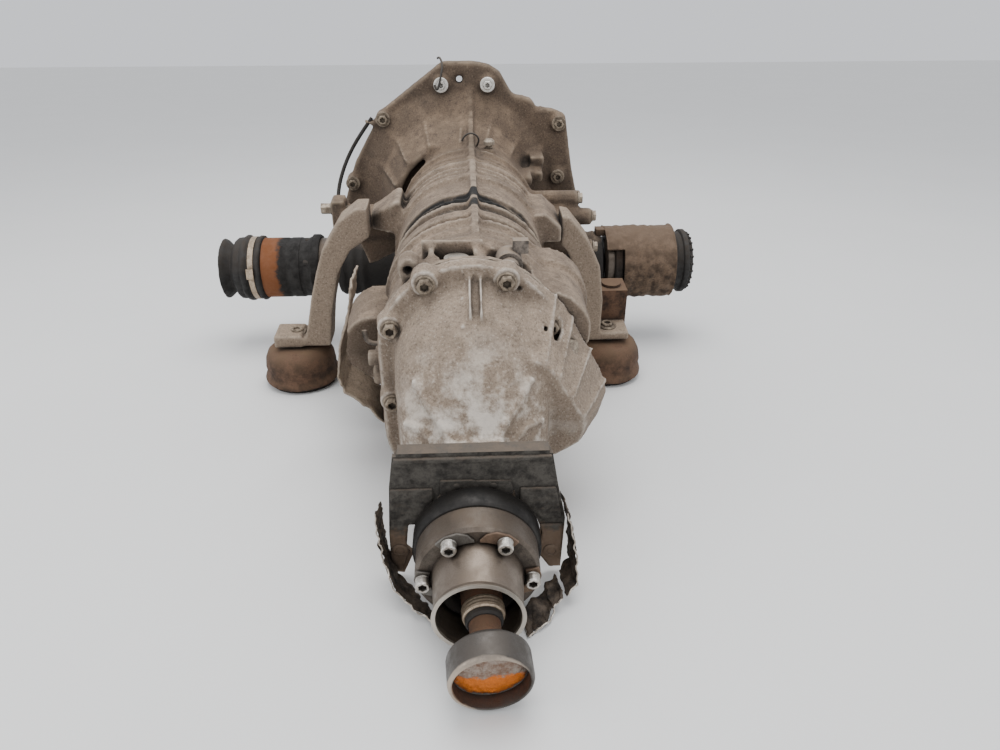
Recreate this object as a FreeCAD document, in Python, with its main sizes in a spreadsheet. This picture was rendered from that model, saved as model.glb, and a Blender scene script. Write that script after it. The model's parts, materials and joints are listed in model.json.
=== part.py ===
import FreeCAD
import Part
import Sketcher
import math
import os

# Manual transmission for a lengthwise engine with all-wheel drive.
# Row frame: origin in the middle of the bell housing's mounting face, on the
# input shaft's axis. +Y points at the engine, +X to the right, +Z up.

DIMS = {
    "bell_radius": 153.5,
    "bell_step_radius": 120,
    "bell_step_back": 38,
    "flange_thick": 16,
    "case_radius": 95,
    "case_wall": 7,
    "seam_front": 202,
    "seam_rear": 540,
    "output_side": 20,
    "output_drop": 103,
    "axle_back": 92,
    "tooth_sum": 70,
    "input_radius": 15,
    "hollow_radius": 24,
    "pinion_radius": 12,
    "gear_width": 16,
    "hub_width": 24,
    "hub_radius": 30,
    "sleeve_radius": 46,
    "groove_radius": 38,
    "groove_width": 8,
    "rail_radius": 8,
    "clear_gap": 0.3,
    "run_gap": 0.05,
    "side_shaft_radius": 14,
    "side_joint_radius": 47.5,
    "left_flange_reach": 206,
    "right_flange_reach": 251,
    "neck_radius": 36.5,
    "rear_face": 724,
    "rear_joint_radius": 54.5,
    "joint_bolt_circle": 47,
    "foot_back": 262,
    "left_foot_side": 232,
    "right_foot_side": 219,
    "foot_drop": 212,
    "foot_radius": 48,
    "bolt_radius": 4,
}

MODULE_TRIM = 0.9
BACKLASH = 0.38
STADIUM_TOP = -4

doc = FreeCAD.newDocument("transmission")
sheet = doc.addObject("Spreadsheet::Sheet", "Dims")
for row, (alias, amount) in enumerate(DIMS.items(), 1):
    sheet.set(f"A{row}", alias)
    sheet.set(f"B{row}", str(amount))
    sheet.setAlias(f"B{row}", alias)
doc.recompute()


def size(alias):
    return float(sheet.get(alias))


V = FreeCAD.Vector
Y_AXIS = V(0, 1, 0)
X_AXIS = V(1, 0, 0)
Z_AXIS = V(0, 0, 1)
parts = []


# ---------------------------------------------------------------- sketches

def pin(sketch, kind, index, place, value):
    """Hold one coordinate of a point at a number or a sheet expression."""
    start = float(value) if not isinstance(value, str) else 1.0
    number = sketch.addConstraint(Sketcher.Constraint(kind, -1, 1, index, place, start))
    if isinstance(value, str):
        sketch.setExpression(f"Constraints[{number}]", value)


def outline(body, role, points, holes=()):
    """A closed polygon, and round holes in it, on one of the body's planes."""
    plane = next(f for f in body.Origin.OriginFeatures if f.Role == role)
    sketch = body.newObject("Sketcher::SketchObject", f"Sketch_{body.Label}")
    sketch.AttachmentSupport = [(plane, "")]
    sketch.MapMode = "FlatFace"
    count = len(points)
    ring = []
    for i, (across, up) in enumerate(points):
        turn = 2 * math.pi * i / count
        x = across if not isinstance(across, str) else 50 * math.cos(turn)
        y = up if not isinstance(up, str) else 50 * math.sin(turn)
        ring.append(V(x, y, 0))
    for i in range(count):
        sketch.addGeometry(Part.LineSegment(ring[i], ring[(i + 1) % count]))
    for i in range(count):
        sketch.addConstraint(Sketcher.Constraint("Coincident", i, 2, (i + 1) % count, 1))
    for i, (across, up) in enumerate(points):
        pin(sketch, "DistanceX", i, 1, across)
        pin(sketch, "DistanceY", i, 1, up)
    for across, up, radius in holes:
        index = sketch.addGeometry(Part.Circle(V(across, up, 0), Z_AXIS, radius))
        pin(sketch, "DistanceX", index, 3, across)
        pin(sketch, "DistanceY", index, 3, up)
        sketch.addConstraint(Sketcher.Constraint("Radius", index, radius))
    return sketch


def new_body(label, centre):
    """A body whose origin is placed at numbers or sheet expressions."""
    body = doc.addObject("PartDesign::Body", label)
    body.Label = label
    for letter, value in zip("xyz", centre):
        if isinstance(value, str):
            body.setExpression(f"Placement.Base.{letter}", value)
        elif value:
            setattr(body.Placement.Base, letter, value)
    parts.append(body)
    return body


def turned(label, points, along="Y", centre=(0, 0, 0)):
    """A solid of revolution. Points are (place along the axis, radius)."""
    body = new_body(label, centre)
    role = "YZ_Plane" if along == "Y" else "XZ_Plane"
    if along == "Z":
        points = [(radius, place) for place, radius in points]
    sketch = outline(body, role, points)
    feature = body.newObject("PartDesign::Revolution", f"Turn_{label}")
    feature.Profile = sketch
    feature.ReferenceAxis = (sketch, ["V_Axis" if along == "Z" else "H_Axis"])
    feature.Angle = 360
    return body


def plate(label, role, points, thickness, centre=(0, 0, 0), holes=()):
    """A flat piece: an outline padded along its plane's normal."""
    body = new_body(label, centre)
    sketch = outline(body, role, points, holes)
    feature = body.newObject("PartDesign::Pad", f"Pad_{label}")
    feature.Profile = sketch
    feature.Length = thickness
    return body


def piece(label, shape):
    """A casting or toothed piece, made with Part's own functions."""
    feature = doc.addObject("Part::Feature", label)
    feature.Label = label
    feature.Shape = shape
    parts.append(feature)
    return feature


# ------------------------------------------------------------- plain solids

def rod_y(radius, front, rear, across=0.0, up=0.0):
    return Part.makeCylinder(radius, front - rear, V(across, rear, up), Y_AXIS)


def rod_x(radius, low, high, along, up):
    return Part.makeCylinder(radius, high - low, V(low, along, up), X_AXIS)


def rod_z(radius, low, high, across, along):
    return Part.makeCylinder(radius, high - low, V(across, along, low), Z_AXIS)


def cone_y(front_radius, rear_radius, front, rear, across=0.0, up=0.0):
    return Part.makeCone(rear_radius, front_radius, front - rear, V(across, rear, up), Y_AXIS)


def ring_y(outer, inner, front, rear, across=0.0, up=0.0):
    return rod_y(outer, front, rear, across, up).cut(rod_y(inner, front, rear, across, up))


def block(x, y, z):
    """A box between two limits in each direction."""
    return Part.makeBox(x[1] - x[0], y[1] - y[0], z[1] - z[0], V(x[0], y[0], z[0]))


def prism_y(points, front, rear):
    """A polygon of (x, z) points, from one station along Y to another."""
    wire = Part.makePolygon([V(x, front, z) for x, z in points + points[:1]])
    return Part.Face(wire).extrude(V(0, rear - front, 0))


def prism_x(points, low, high):
    """A polygon of (y, z) points, from one station along X to another."""
    wire = Part.makePolygon([V(low, y, z) for y, z in points + points[:1]])
    return Part.Face(wire).extrude(V(high - low, 0, 0))


def oval_wire(radius, station, top=STADIUM_TOP, bottom=None):
    """The case's section: two half circles, over the two shafts, and two sides."""
    side = size("output_side")
    low = -size("output_drop") if bottom is None else bottom
    left = V(side - radius, station, top)
    right = V(side + radius, station, top)
    left_low = V(side - radius, station, low)
    right_low = V(side + radius, station, low)
    edges = [
        Part.Arc(left, V(side, station, top + radius), right).toShape(),
        Part.makeLine(right, right_low),
        Part.Arc(right_low, V(side, station, low - radius), left_low).toShape(),
        Part.makeLine(left_low, left),
    ]
    return Part.Wire(edges)


def oval(radius, front, rear):
    return Part.Face(oval_wire(radius, front)).extrude(V(0, rear - front, 0))


def fuse(shapes):
    return shapes[0].multiFuse(shapes[1:]).removeSplitter()


def cut(base, tools):
    return base.cut(tools[0].multiFuse(tools[1:]) if len(tools) > 1 else tools[0])


def group(shapes):
    return Part.makeCompound(shapes)


def hex_bolt(head_radius, head_height, shank_length, place, direction):
    """A bolt: a hexagon head that rests on place, and a shank that goes in."""
    corners = [V(head_radius * math.cos(math.radians(60 * i)),
                 head_radius * math.sin(math.radians(60 * i)), 0) for i in range(7)]
    head = Part.Face(Part.makePolygon(corners)).extrude(V(0, 0, head_height))
    washer = Part.makeCylinder(head_radius * 1.12, 2)
    shank = Part.makeCylinder(size("bolt_radius"), shank_length, V(0, 0, -shank_length))
    bolt = fuse([head, washer, shank])
    bolt.Placement = FreeCAD.Placement(V(*place), FreeCAD.Rotation(Z_AXIS, V(*direction)))
    return bolt


# ------------------------------------------------------------------- gears

SIDE = size("output_side")
DROP = -size("output_drop")
CENTRE_DISTANCE = math.hypot(SIDE, DROP)
MODULE = 2 * CENTRE_DISTANCE / size("tooth_sum")
TO_OUTPUT = math.degrees(math.atan2(DROP, SIDE))
INPUT = (0.0, 0.0)
OUTPUT = (SIDE, DROP)


def gear_face(teeth, module, tooth_angle):
    """A toothed outline about the origin, with one tooth at tooth_angle."""
    pitch_radius = teeth * module / 2
    tip = pitch_radius + MODULE_TRIM * module
    root = pitch_radius - 1.15 * module
    half = BACKLASH * math.pi / teeth
    flank = math.tan(math.radians(20)) * module / pitch_radius
    points = []
    for i in range(teeth):
        middle = math.radians(tooth_angle) + 2 * math.pi * i / teeth
        for radius, spread in ((root, half + 1.15 * flank), (tip, half - MODULE_TRIM * flank)):
            points.append((radius, middle - spread))
        for radius, spread in ((tip, half - MODULE_TRIM * flank), (root, half + 1.15 * flank)):
            points.append((radius, middle + spread))
    ring = [V(r * math.cos(a), 0, r * math.sin(a)) for r, a in points]
    return Part.Face(Part.makePolygon(ring + ring[:1]))


def gear(teeth, tooth_angle, front, width, centre, bore=0.0, module=MODULE):
    solid = gear_face(teeth, module, tooth_angle).extrude(V(0, -width, 0))
    solid.translate(V(centre[0], front, centre[1]))
    if bore:
        solid = solid.cut(rod_y(bore, front + 1, front - width - 1, *centre))
    return solid


WIDTH = size("gear_width")
GAP = size("clear_gap")
# name, teeth on the input shaft, front station
PAIRS = {
    "first": (15, -178),
    "second": (22, -238),
    "third": (28, -258),
    "fourth": (32, -318),
    "fifth": (36, -338),
}
DOG_WIDTH = 6
DOG_RADIUS = size("hub_radius") - 0.5
HUBS = {"first_second": (-204, OUTPUT), "third_fourth": (-284, INPUT), "fifth_reverse": (-364, INPUT)}
REVERSE_FRONT = -398
REVERSE_WIDTH = 14
REVERSE_TEETH = (16, 20, 40)
RAIL_R = size("rail_radius")
UPPER_RAIL = (50.0, 54.5)
LOWER_RAIL = (90.0, -58.0)
AXLE_RADIUS = 10


def triangle_angle(near, far, base):
    """The angle at one end of a side of a triangle with known sides."""
    return math.degrees(math.acos((near ** 2 + base ** 2 - far ** 2) / (2 * near * base)))


# The reverse idler meshes with a gear on each shaft, so it sits at a triangle's corner.
R_IN, R_IDLER, R_OUT = REVERSE_TEETH
near = (R_IN + R_IDLER) * MODULE / 2
far = (R_IDLER + R_OUT) * MODULE / 2
idler_angle = TO_OUTPUT + triangle_angle(near, far, CENTRE_DISTANCE)
IDLER = (near * math.cos(math.radians(idler_angle)), near * math.sin(math.radians(idler_angle)))


def pair_gears(name):
    """The meshed pair of one speed: the gear on the input, and on the output."""
    teeth, front = PAIRS[name]
    mate = int(size("tooth_sum")) - teeth
    upper = gear(teeth, TO_OUTPUT, front, WIDTH, INPUT)
    lower = gear(mate, TO_OUTPUT + 180 + 180 / mate, front, WIDTH, OUTPUT)
    return upper, lower


def loose(solid, bore, front, width, centre, dog_side):
    """A gear free on its shaft, with a dog ring towards its hub."""
    if dog_side:
        start = front + DOG_WIDTH if dog_side > 0 else front - width
        solid = solid.fuse(rod_y(DOG_RADIUS, start, start - DOG_WIDTH, *centre))
    return solid.cut(rod_y(bore, front + 10, front - width - 10, *centre))


# --------------------------------------------------------------- the castings

SEAM_FRONT = -size("seam_front")
SEAM_REAR = -size("seam_rear")
AXLE = -size("axle_back")
BELL = size("bell_radius")
STEP = size("bell_step_radius")
STEP_BACK = -size("bell_step_back")
CASE = size("case_radius")
THICK = size("flange_thick")

FLANGE_OUTLINE = [
    (-15, 194), (30, 194), (54, 190), (72, 179), (92, 146), (119, 140), (131, 127),
    (156, 123), (176, 114), (182, 79), (190, 30), (200, -12), (197, -60), (180, -102),
    (150, -140), (110, -172), (60, -186), (-40, -186), (-100, -168), (-150, -130),
    (-181, -80), (-184, -23), (-161, 43), (-124, 104), (-121, 117),
]
FLANGE_BOLTS = [
    (-18, 162), (53, 162), (165, 103), (166, 19), (-110, 112), (-166, 12),
    (-70, -170), (70, -170), (-148, -100), (150, -108),
]
BOSS_RADIUS = 11
BOLT_HOLE = 5.5


RIGHT_EARS = [(182, -150, 24), (202, -160, 0), (206, -168, -46)]
LEFT_EAR = (-176, -175, 22)
SIDE_BOLTS = [hex_bolt(8, 7, 30, ear, (1, 0, 0)) for ear in RIGHT_EARS] + [hex_bolt(8, 16, 30, LEFT_EAR, (-1, 0, 0))]
FILLER_PLUG = hex_bolt(11, 6, 14, (118, -561, 2), (0.35, -0.9, 0.25))
DRAIN_PLUG = hex_bolt(11, 6, 12, (20, -238, DROP - CASE), (0, 0, -1))


# The hose's route, clipped to the bell at its upper end and pushed on a pipe at its lower end.
HOSE = [(-128, -12, 112), (-152, -20, 84), (-176, -36, 44), (-188, -58, 4), (-182, -88, -30), (-182, -88, -58)]
HOSE_RADIUS = 3


def hose(points, radius):
    """A tube along straight runs joined by tangent arcs."""
    stations = [V(*point) for point in points]
    edges = []
    start = stations[0]
    for before, corner, after in zip(stations, stations[1:], stations[2:]):
        back = (before - corner).normalize()
        ahead = (after - corner).normalize()
        turn = math.pi - back.getAngle(ahead)
        reach = 0.45 * min((before - corner).Length, (after - corner).Length)
        bend = reach / math.tan(turn / 2)
        enter = corner + back * reach
        leave = corner + ahead * reach
        inward = (back + ahead).normalize()
        middle = corner + inward * (bend / math.cos(turn / 2) - bend)
        edges.append(Part.LineSegment(start, enter).toShape())
        edges.append(Part.Arc(enter, middle, leave).toShape())
        print(f"hose bend radius {bend:.0f} mm")
        start = leave
    edges.append(Part.LineSegment(start, stations[-1]).toShape())
    path = Part.Wire(edges)
    ring = Part.Wire(Part.Circle(stations[0], stations[1] - stations[0], radius).toShape())
    return path.makePipeShell([ring], True, False)


HOSE_SOLID = hose(HOSE, HOSE_RADIUS)
HOSE_START = V(*HOSE[0])
HOSE_RUN = (V(*HOSE[1]) - HOSE_START).normalize()
RUN_GAP = size("run_gap")


def bell_housing():
    flange = prism_y(FLANGE_OUTLINE, 0, -THICK)
    bosses = [rod_y(BOSS_RADIUS, 0, -THICK - 6, x, z) for x, z in FLANGE_BOLTS]
    dome = [
        rod_y(BELL, 0, -15),
        cone_y(BELL, STEP, -15, STEP_BACK),
        cone_y(STEP, 92, STEP_BACK, -104),
    ]
    tail = [oval(CASE, -60, SEAM_FRONT), oval(CASE + 6, SEAM_FRONT + 12, SEAM_FRONT)]
    sides = [
        rod_x(64, -95, 135, AXLE, DROP),
        rod_x(42, -190, -90, AXLE, DROP),
        rod_x(48, 130, 232, AXLE, DROP),
        block((-160, -70), (-200, -152), (-14, 22)),
        block((105, 160), (-186, -146), (-16, 14)),
    ]
    ears = [rod_x(12, 100, x, y, z) for x, y, z in RIGHT_EARS]
    ears += [block((-176, -156), (-192, -158), (-14, 38))]
    clips = [block((-139, -120), (-19, -9), (103, 109)), rod_z(4.5, -66, -58, -182, -88)]
    lugs = [rod_z(9, 60, 92, 52, -118), block((118, 140), (-60, -14), (48, 62)), block((112, 138), (-74, -14), (26, 42)),
            block((96, 118), (-112, -60), (30, 46))]
    rib = prism_x([(0, 178), (-16, 158), (-38, 128), (-104, 101), (-202, 101), (-202, 70), (0, 70)], 22, 30)
    solid = fuse([flange] + bosses + dome + tail + sides + ears + clips + lugs + [rib])
    hollows = [
        rod_y(146, 1, -8), cone_y(146, 116, -8, -30), rod_y(42, -29, -62),
        rod_x(57, -60, 84, AXLE, DROP), oval(86, -104, -144), ring_y(84, 50, -66, -105),
        rod_x(size("side_shaft_radius") + 1, -195, -55, AXLE, DROP),
        rod_x(33, -191, -70, AXLE, DROP),
        rod_x(size("side_shaft_radius") + 1, 80, 240, AXLE, DROP),
        rod_x(39, 100, 233, AXLE, DROP),
        rod_y(size("input_radius") + 1, -60, -175),
        rod_y(26, -146, -172), rod_y(33, -150, -172, *OUTPUT),
        rod_y(26, -120, -151, *OUTPUT),
        oval(CASE - size("case_wall"), -172, SEAM_FRONT - 1),
        rod_y(6, 1, -THICK - 8, 10, 168), rod_y(4, 1, -THICK - 1, 130, 127),
        rod_y(4, 1, -THICK - 1, -163, -10), rod_y(3.5, 1, -THICK - 1, -170, -28),
    ]
    hollows += [rod_y(BOLT_HOLE, 1, -THICK - 8, x, z) for x, z in FLANGE_BOLTS]
    hollows.append(Part.makeCylinder(HOSE_RADIUS + RUN_GAP, 40, HOSE_START - HOSE_RUN * 5, HOSE_RUN))
    return cut(solid, hollows + SIDE_BOLTS)


# Bands of the main case along Y: front, rear, radius of the oval section.
CASE_BANDS = [
    (-202, -214, 101), (-214, -262, 95), (-262, -276, 101), (-276, -328, 95), (-328, -362, 87),
    (-362, -368, 97), (-368, -397, 87), (-397, -416, 99), (-416, -430, 91), (-430, -540, 95),
]
POCKET = ((-29, 82), (-539, -498), (60, 110))
REAR_WALL = (-418, -440)
ROD_END = -430
CHAMBER = 54
SELECTOR = (6, -514)
DRUM = (98, 8)
COVER_BOLTS = [(-25, 76), (55, 78), (-62, 28), (100, 28), (-66, -60), (106, -60), (-45, -163), (84, -163)]


def main_case():
    bands = [oval(radius, front, rear) for front, rear, radius in CASE_BANDS]
    rib = prism_x([(-202, 101), (-440, 100), (-490, 93), (-490, 70), (-202, 70)], 22, 30)
    drum = [rod_y(54, -432, -470, *DRUM), rod_y(48, -470, -540, *DRUM)]
    pads = [
        block((-112, -70), (-268, -204), (18, 62)), block((105, 142), (-292, -204), (10, 50)),
        rod_y(44, -330, -424, -96, -72), block((-96, -60), (-424, -340), (-120, -30)),
        rod_x(12, -94, -60, -486, -70), rod_y(12, -514, -540, -42, 82), rod_y(12, -500, -540, 66, 68),
    ]
    solid = fuse(bands + [rib] + drum + pads)
    wall = size("case_wall")
    hollows = [
        oval(CASE - wall, -201, -300), oval(CASE - wall - 8, -299, REAR_WALL[0]),
        oval(CHAMBER, REAR_WALL[1], -541), rod_y(22, -417, -432, *INPUT), rod_y(33, -417, -441, *OUTPUT),
        block(*POCKET), rod_z(12.05, 30, 61, *SELECTOR),
        rod_y(27, -440, -541, DRUM[0], DRUM[1]),
        rod_y(5, -520, -541, -42, 82), rod_y(4.5, -528, -541, 66, 68),
        rod_y(30, -341, -415, -98, -72), rod_y(80, REAR_WALL[1], -541, *OUTPUT),
        rod_y(RAIL_R, -417, ROD_END, *UPPER_RAIL), rod_y(RAIL_R, -417, ROD_END, *LOWER_RAIL),
        rod_y(AXLE_RADIUS, -417, ROD_END, *IDLER), DRAIN_PLUG,
    ]
    hollows += [rod_y(size("bolt_radius"), -520, -541, x, z) for x, z in COVER_BOLTS]
    ribs = [block((32, 38), (-539, -498), (58, 84))]
    return fuse([cut(solid, hollows)] + ribs)


BULGE_FRONT = [(70, 66), (96, 64), (116, 44), (134, 10), (160, -38), (168, -64), (160, -96), (118, -126), (70, -126)]
BULGE_REAR = [(60, 20), (84, 14), (98, 4), (112, -20), (128, -46), (134, -62), (128, -82), (102, -98), (60, -98)]
BULGE_END = -612


def loft_y(first, second, front, rear):
    """A solid between two (x, z) polygons at two stations along Y."""
    wires = [Part.makePolygon([V(x, station, z) for x, z in points + points[:1]])
             for points, station in ((first, front), (second, rear))]
    return Part.makeLoft(wires, True, True)


def shrink(points, centre, amount):
    """A polygon drawn in towards a centre, to leave a wall."""
    drawn = []
    for x, z in points:
        reach = math.hypot(x - centre[0], z - centre[1])
        keep = (reach - amount) / reach
        drawn.append((centre[0] + (x - centre[0]) * keep, centre[1] + (z - centre[1]) * keep))
    return drawn


DAMPER_BOLTS = [(3, -50), (36, -50), (-50, -125), (87, -126)]
# Stations of the rear cover's hood: place along Y, radius, height of the upper centre.
HOOD = [(-556, 80, -4), (-596, 78, -22), (-628, 73, -54), (-644, 67, -72), (-660, 56, -86), (-674, 42, -94)]
HOOD_WALL = 8


def hood(inset):
    wires = [oval_wire(radius - inset, station, top) for station, radius, top in HOOD]
    return Part.makeLoft(wires, True, True)


def rear_cover():
    solid = [oval(97, SEAM_REAR, -556), hood(0), rod_y(46, -640, -692, *OUTPUT),
             rod_y(size("neck_radius"), -690, -718, *OUTPUT),
             loft_y(BULGE_FRONT, BULGE_REAR, SEAM_REAR, BULGE_END),
             block((-8, 48), (-708, -650), (-64, -36)),
             prism_x([(-556, 84), (-600, 64), (-600, 30), (-556, 30)], 17, 20),
             prism_x([(-556, 84), (-600, 64), (-600, 30), (-556, 30)], 28, 31)]
    bosses = [rod_y(13, SEAM_REAR, -562, x, z) for x, z in COVER_BOLTS]
    bulge_centre = (112, -60)
    hollows = [
        oval(CHAMBER, -539, -558), hood(HOOD_WALL), rod_y(36, -660, -700, *OUTPUT),
        rod_y(30, -699, -720, *OUTPUT),
        loft_y(shrink(BULGE_FRONT, bulge_centre, 9), shrink(BULGE_REAR, bulge_centre, 9), -539, BULGE_END + 9),
        rod_y(4.5, -539, -558, 66, 68),
    ]
    hollows += [rod_y(size("bolt_radius"), -539, -563, x, z) for x, z in COVER_BOLTS]
    hollows += [rod_y(11, -562, -580, x, z) for x, z in COVER_BOLTS]
    hollows += [rod_y(size("bolt_radius"), -699, -709, x, z) for x, z in DAMPER_BOLTS[:2]]
    return cut(fuse(solid + bosses), hollows + [FILLER_PLUG])


piece("bell_housing", bell_housing())
piece("main_case", main_case())
piece("rear_cover", rear_cover())
piece("cover_bolts", group([hex_bolt(8, 7, 30, (x, -562, z), (0, -1, 0)) for x, z in COVER_BOLTS]))

# ------------------------------------------------------ bearings, plugs, small parts

RUN = size("run_gap")
INPUT_R = size("input_radius")
HOLLOW_R = size("hollow_radius")
SHAFT_R = size("side_shaft_radius")
GUIDE_R = 22
bearings = [
    ring_y(26, INPUT_R + RUN, -147, -171), ring_y(22, INPUT_R + RUN, -418, -431),
    ring_y(33, HOLLOW_R + RUN, -151, -171, *OUTPUT), ring_y(33, HOLLOW_R + RUN, -419, -439, *OUTPUT),
    ring_y(30, SHAFT_R + RUN, -700, -717, *OUTPUT),
]
piece("shaft_bearings", group(bearings))


def side_ring(outer, inner, low, high):
    return rod_x(outer, low, high, AXLE, DROP).cut(rod_x(inner, low, high, AXLE, DROP))


piece("side_seals", group([side_ring(33, SHAFT_R + RUN, -190, -178), side_ring(39, SHAFT_R + RUN, 220, 232)]))
turned("guide_sleeve", [(-12, 17), (-12, GUIDE_R), (-56, GUIDE_R), (-56, 40), (-62, 40), (-62, 17)])
piece("oil_plugs", group([FILLER_PLUG, DRAIN_PLUG]))
piece("side_bolts", group(SIDE_BOLTS))
turned("breather_cap", [(92, 0), (92, 5), (96, 5), (96, 8), (101, 8), (104, 5), (104, 0)], "Z", (52, -118, 0))
piece("reverse_switch", fuse([rod_y(14, -498, -520, 60, 76), rod_y(10, -520, -530, 60, 76),
                              block((64, 80), (-512, -502), (86, 100))]))

piece("breather_hose", HOSE_SOLID)

# ----------------------------------------------------------- brackets and mounts

LEFT_ARM = [(-113, 58), (-128, 58), (-152, 40), (-178, 0), (-190, -34), (-201, -70), (-212, -116), (-217, -132),
            (-262, -132), (-262, -144), (-182, -144), (-174, -90), (-160, -34), (-140, 0), (-113, 18)]
RIGHT_ARM = [(143, 44), (154, 42), (180, 10), (199, -30), (206, -80), (206, -132), (248, -132),
             (248, -144), (182, -144), (180, -92), (168, -40), (152, -6), (143, 4)]
ARM_DEPTH = 44
ARM_FRONT = -(size("foot_back") - ARM_DEPTH / 2)
plate("left_mount_arm", "XZ_Plane", LEFT_ARM, ARM_DEPTH, (0, ARM_FRONT, 0))
plate("right_mount_arm", "XZ_Plane", RIGHT_ARM, ARM_DEPTH, (0, ARM_FRONT, 0))

FEET = (-size("left_foot_side"), size("right_foot_side"))
FOOT_Y = -size("foot_back")
FOOT_Z = -size("foot_drop")
FOOT_R = size("foot_radius")


def foot_ring(points, across):
    """A turned solid about a mount's upright axis; points are (radius, height)."""
    wire = Part.makePolygon([V(r, 0, z) for r, z in points + points[:1]])
    solid = Part.Face(wire).revolve(V(0, 0, 0), Z_AXIS, 360)
    solid.translate(V(across, FOOT_Y, 0))
    return solid


CUP = [(12, -150), (26, -152), (40, -164), (47, -186), (50, -196), (FOOT_R + 6, -200), (FOOT_R + 6, -204),
       (46, -204), (43, -188), (37, -168), (25, -156), (12, -154)]
RUBBER = [(0, -144), (12, -144), (12, -154), (25, -156), (37, -168), (43, -188), (46, -204), (40, -204),
          (40, FOOT_Z), (5, FOOT_Z), (5, FOOT_Z + 24), (0, FOOT_Z + 24)]
piece("mount_cups", group([foot_ring(CUP, across) for across in FEET]))
piece("mount_rubbers", group([foot_ring(RUBBER, across) for across in FEET]))
piece("right_mount_weight", fuse([block((208, 250), (-240, -196), (-144, -86)), rod_z(14, -86, -82, 229, -218)]))

# ------------------------------------------------------------- shields and plates

DAMPER = [(-52, -17), (88, -17), (95, -58), (102, -92), (101, -125), (100, -154), (89, -154), (77, -134), (80, -104),
          (76, -93), (68, -82), (57, -76), (55, -58), (47, -58), (41, -64), (-6, -66), (-12, -60), (-16, -66),
          (-18, -80), (-30, -83), (-39, -89), (-43, -98), (-46, -124), (-40, -131), (-50, -156), (-62, -154),
          (-61, -106), (-57, -50)]
PLATE_BOLTS = [hex_bolt(7, 4, 12, (x, -713, z), (0, -1, 0)) for x, z in DAMPER_BOLTS[:2]]
PLATE_BOLTS += [hex_bolt(7, 4, 4.9, (x, -713, z), (0, -1, 0)) for x, z in DAMPER_BOLTS[2:]]
piece("damper_plate", cut(fuse([prism_y(DAMPER, -708, -713), block((-48, 85), (-713, -699), (-18, -14))]), PLATE_BOLTS))
FOOT_BOLTS = [hex_bolt(9, 8, 11, (across, FOOT_Y, -132), (0, 0, 1)) for across in FEET]
piece("bracket_bolts", group(PLATE_BOLTS + FOOT_BOLTS))


def arc_sheet(radius, thickness, start, end, centre, low, high, axis):
    """A curved sheet about an axis along X or Y, between two angles in degrees."""
    arcs = []
    for r in (radius, radius + thickness):
        marks = [math.radians(start + (end - start) * step / 2) for step in range(3)]
        if axis == "Y":
            arcs.append([V(centre[0] + r * math.cos(a), low, centre[1] + r * math.sin(a)) for a in marks])
        else:
            arcs.append([V(low, centre[0] + r * math.cos(a), centre[1] + r * math.sin(a)) for a in marks])
    inner, outer = arcs
    wire = Part.Wire([Part.Arc(*inner).toShape(), Part.makeLine(inner[2], outer[2]),
                      Part.Arc(*reversed(outer)).toShape(), Part.makeLine(outer[0], inner[0])])
    reach = V(0, high - low, 0) if axis == "Y" else V(high - low, 0, 0)
    return Part.Face(wire).extrude(reach)


foil = [arc_sheet(82, 1.2, 172, 222, OUTPUT, -756, -713, "Y"), arc_sheet(86, 1.2, -42, 6, OUTPUT, -756, -713, "Y")]
piece("under_foil", group(foil))
shield = arc_sheet(56, 1.5, 40, 235, (AXLE, DROP), 236, 346, "X")
window = block((238, 252), (-170, -120), (-130, -96))
tab = block((222, 240), (AXLE - 8, AXLE + 8), (DROP + 48, DROP + 57.4))
piece("right_heat_shield", fuse([shield.cut(window), tab]))
LEFT_SHIELD = [(-108, 46), (-112, 20), (-126, -24), (-133, -62), (-128, -84), (-104, -104), (-76, -142), (-64.6, -146.3),
               (-67.5, -149), (-78, -144), (-106, -106), (-130, -86), (-135, -62), (-128, -24), (-114, 20), (-110, 46)]
plate("left_heat_shield", "XZ_Plane", LEFT_SHIELD, 62, (0, -440, 0))

# --------------------------------------------------------------- input line

HUB_R = size("hub_radius")
HUB_W = size("hub_width")
gears = {name: pair_gears(name) for name in PAIRS}
input_line = [rod_y(11, 14, -10), rod_y(13, -10, -120), rod_y(INPUT_R, -120, -431)]
input_line += [gears["first"][0], gears["second"][0]]
input_line += [rod_y(HUB_R, HUBS[name][0], HUBS[name][0] - HUB_W) for name in ("third_fourth", "fifth_reverse")]
piece("input_shaft", fuse(input_line))

output_line = [rod_y(HOLLOW_R, -148, -472, *OUTPUT), rod_y(HUB_R, HUBS["first_second"][0],
                                                           HUBS["first_second"][0] - HUB_W, *OUTPUT)]
hollow = rod_y(size("pinion_radius") + GAP, -140, -480, *OUTPUT)
piece("output_shaft", cut(fuse(output_line), [hollow]))
idler_to_output = math.degrees(math.atan2(OUTPUT[1] - IDLER[1], OUTPUT[0] - IDLER[0]))
reverse_out = gear(R_OUT, idler_to_output + 180 + 180 / R_OUT, REVERSE_FRONT, REVERSE_WIDTH, OUTPUT, HOLLOW_R)
idler = gear(R_IDLER, idler_to_output, REVERSE_FRONT, REVERSE_WIDTH, IDLER, AXLE_RADIUS + GAP)
# One idler tooth points at the output; this finds the gap that faces the input.
step_angle = 360 / R_IDLER
toward_input = idler_angle + 180
nearest = round((toward_input - idler_to_output) / step_angle)
off_centre = toward_input - (idler_to_output + nearest * step_angle)
input_tooth = idler_angle + 180 / R_IN + off_centre * R_IDLER / R_IN
reverse_in = gear(R_IN, input_tooth, REVERSE_FRONT, REVERSE_WIDTH, INPUT)

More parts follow.
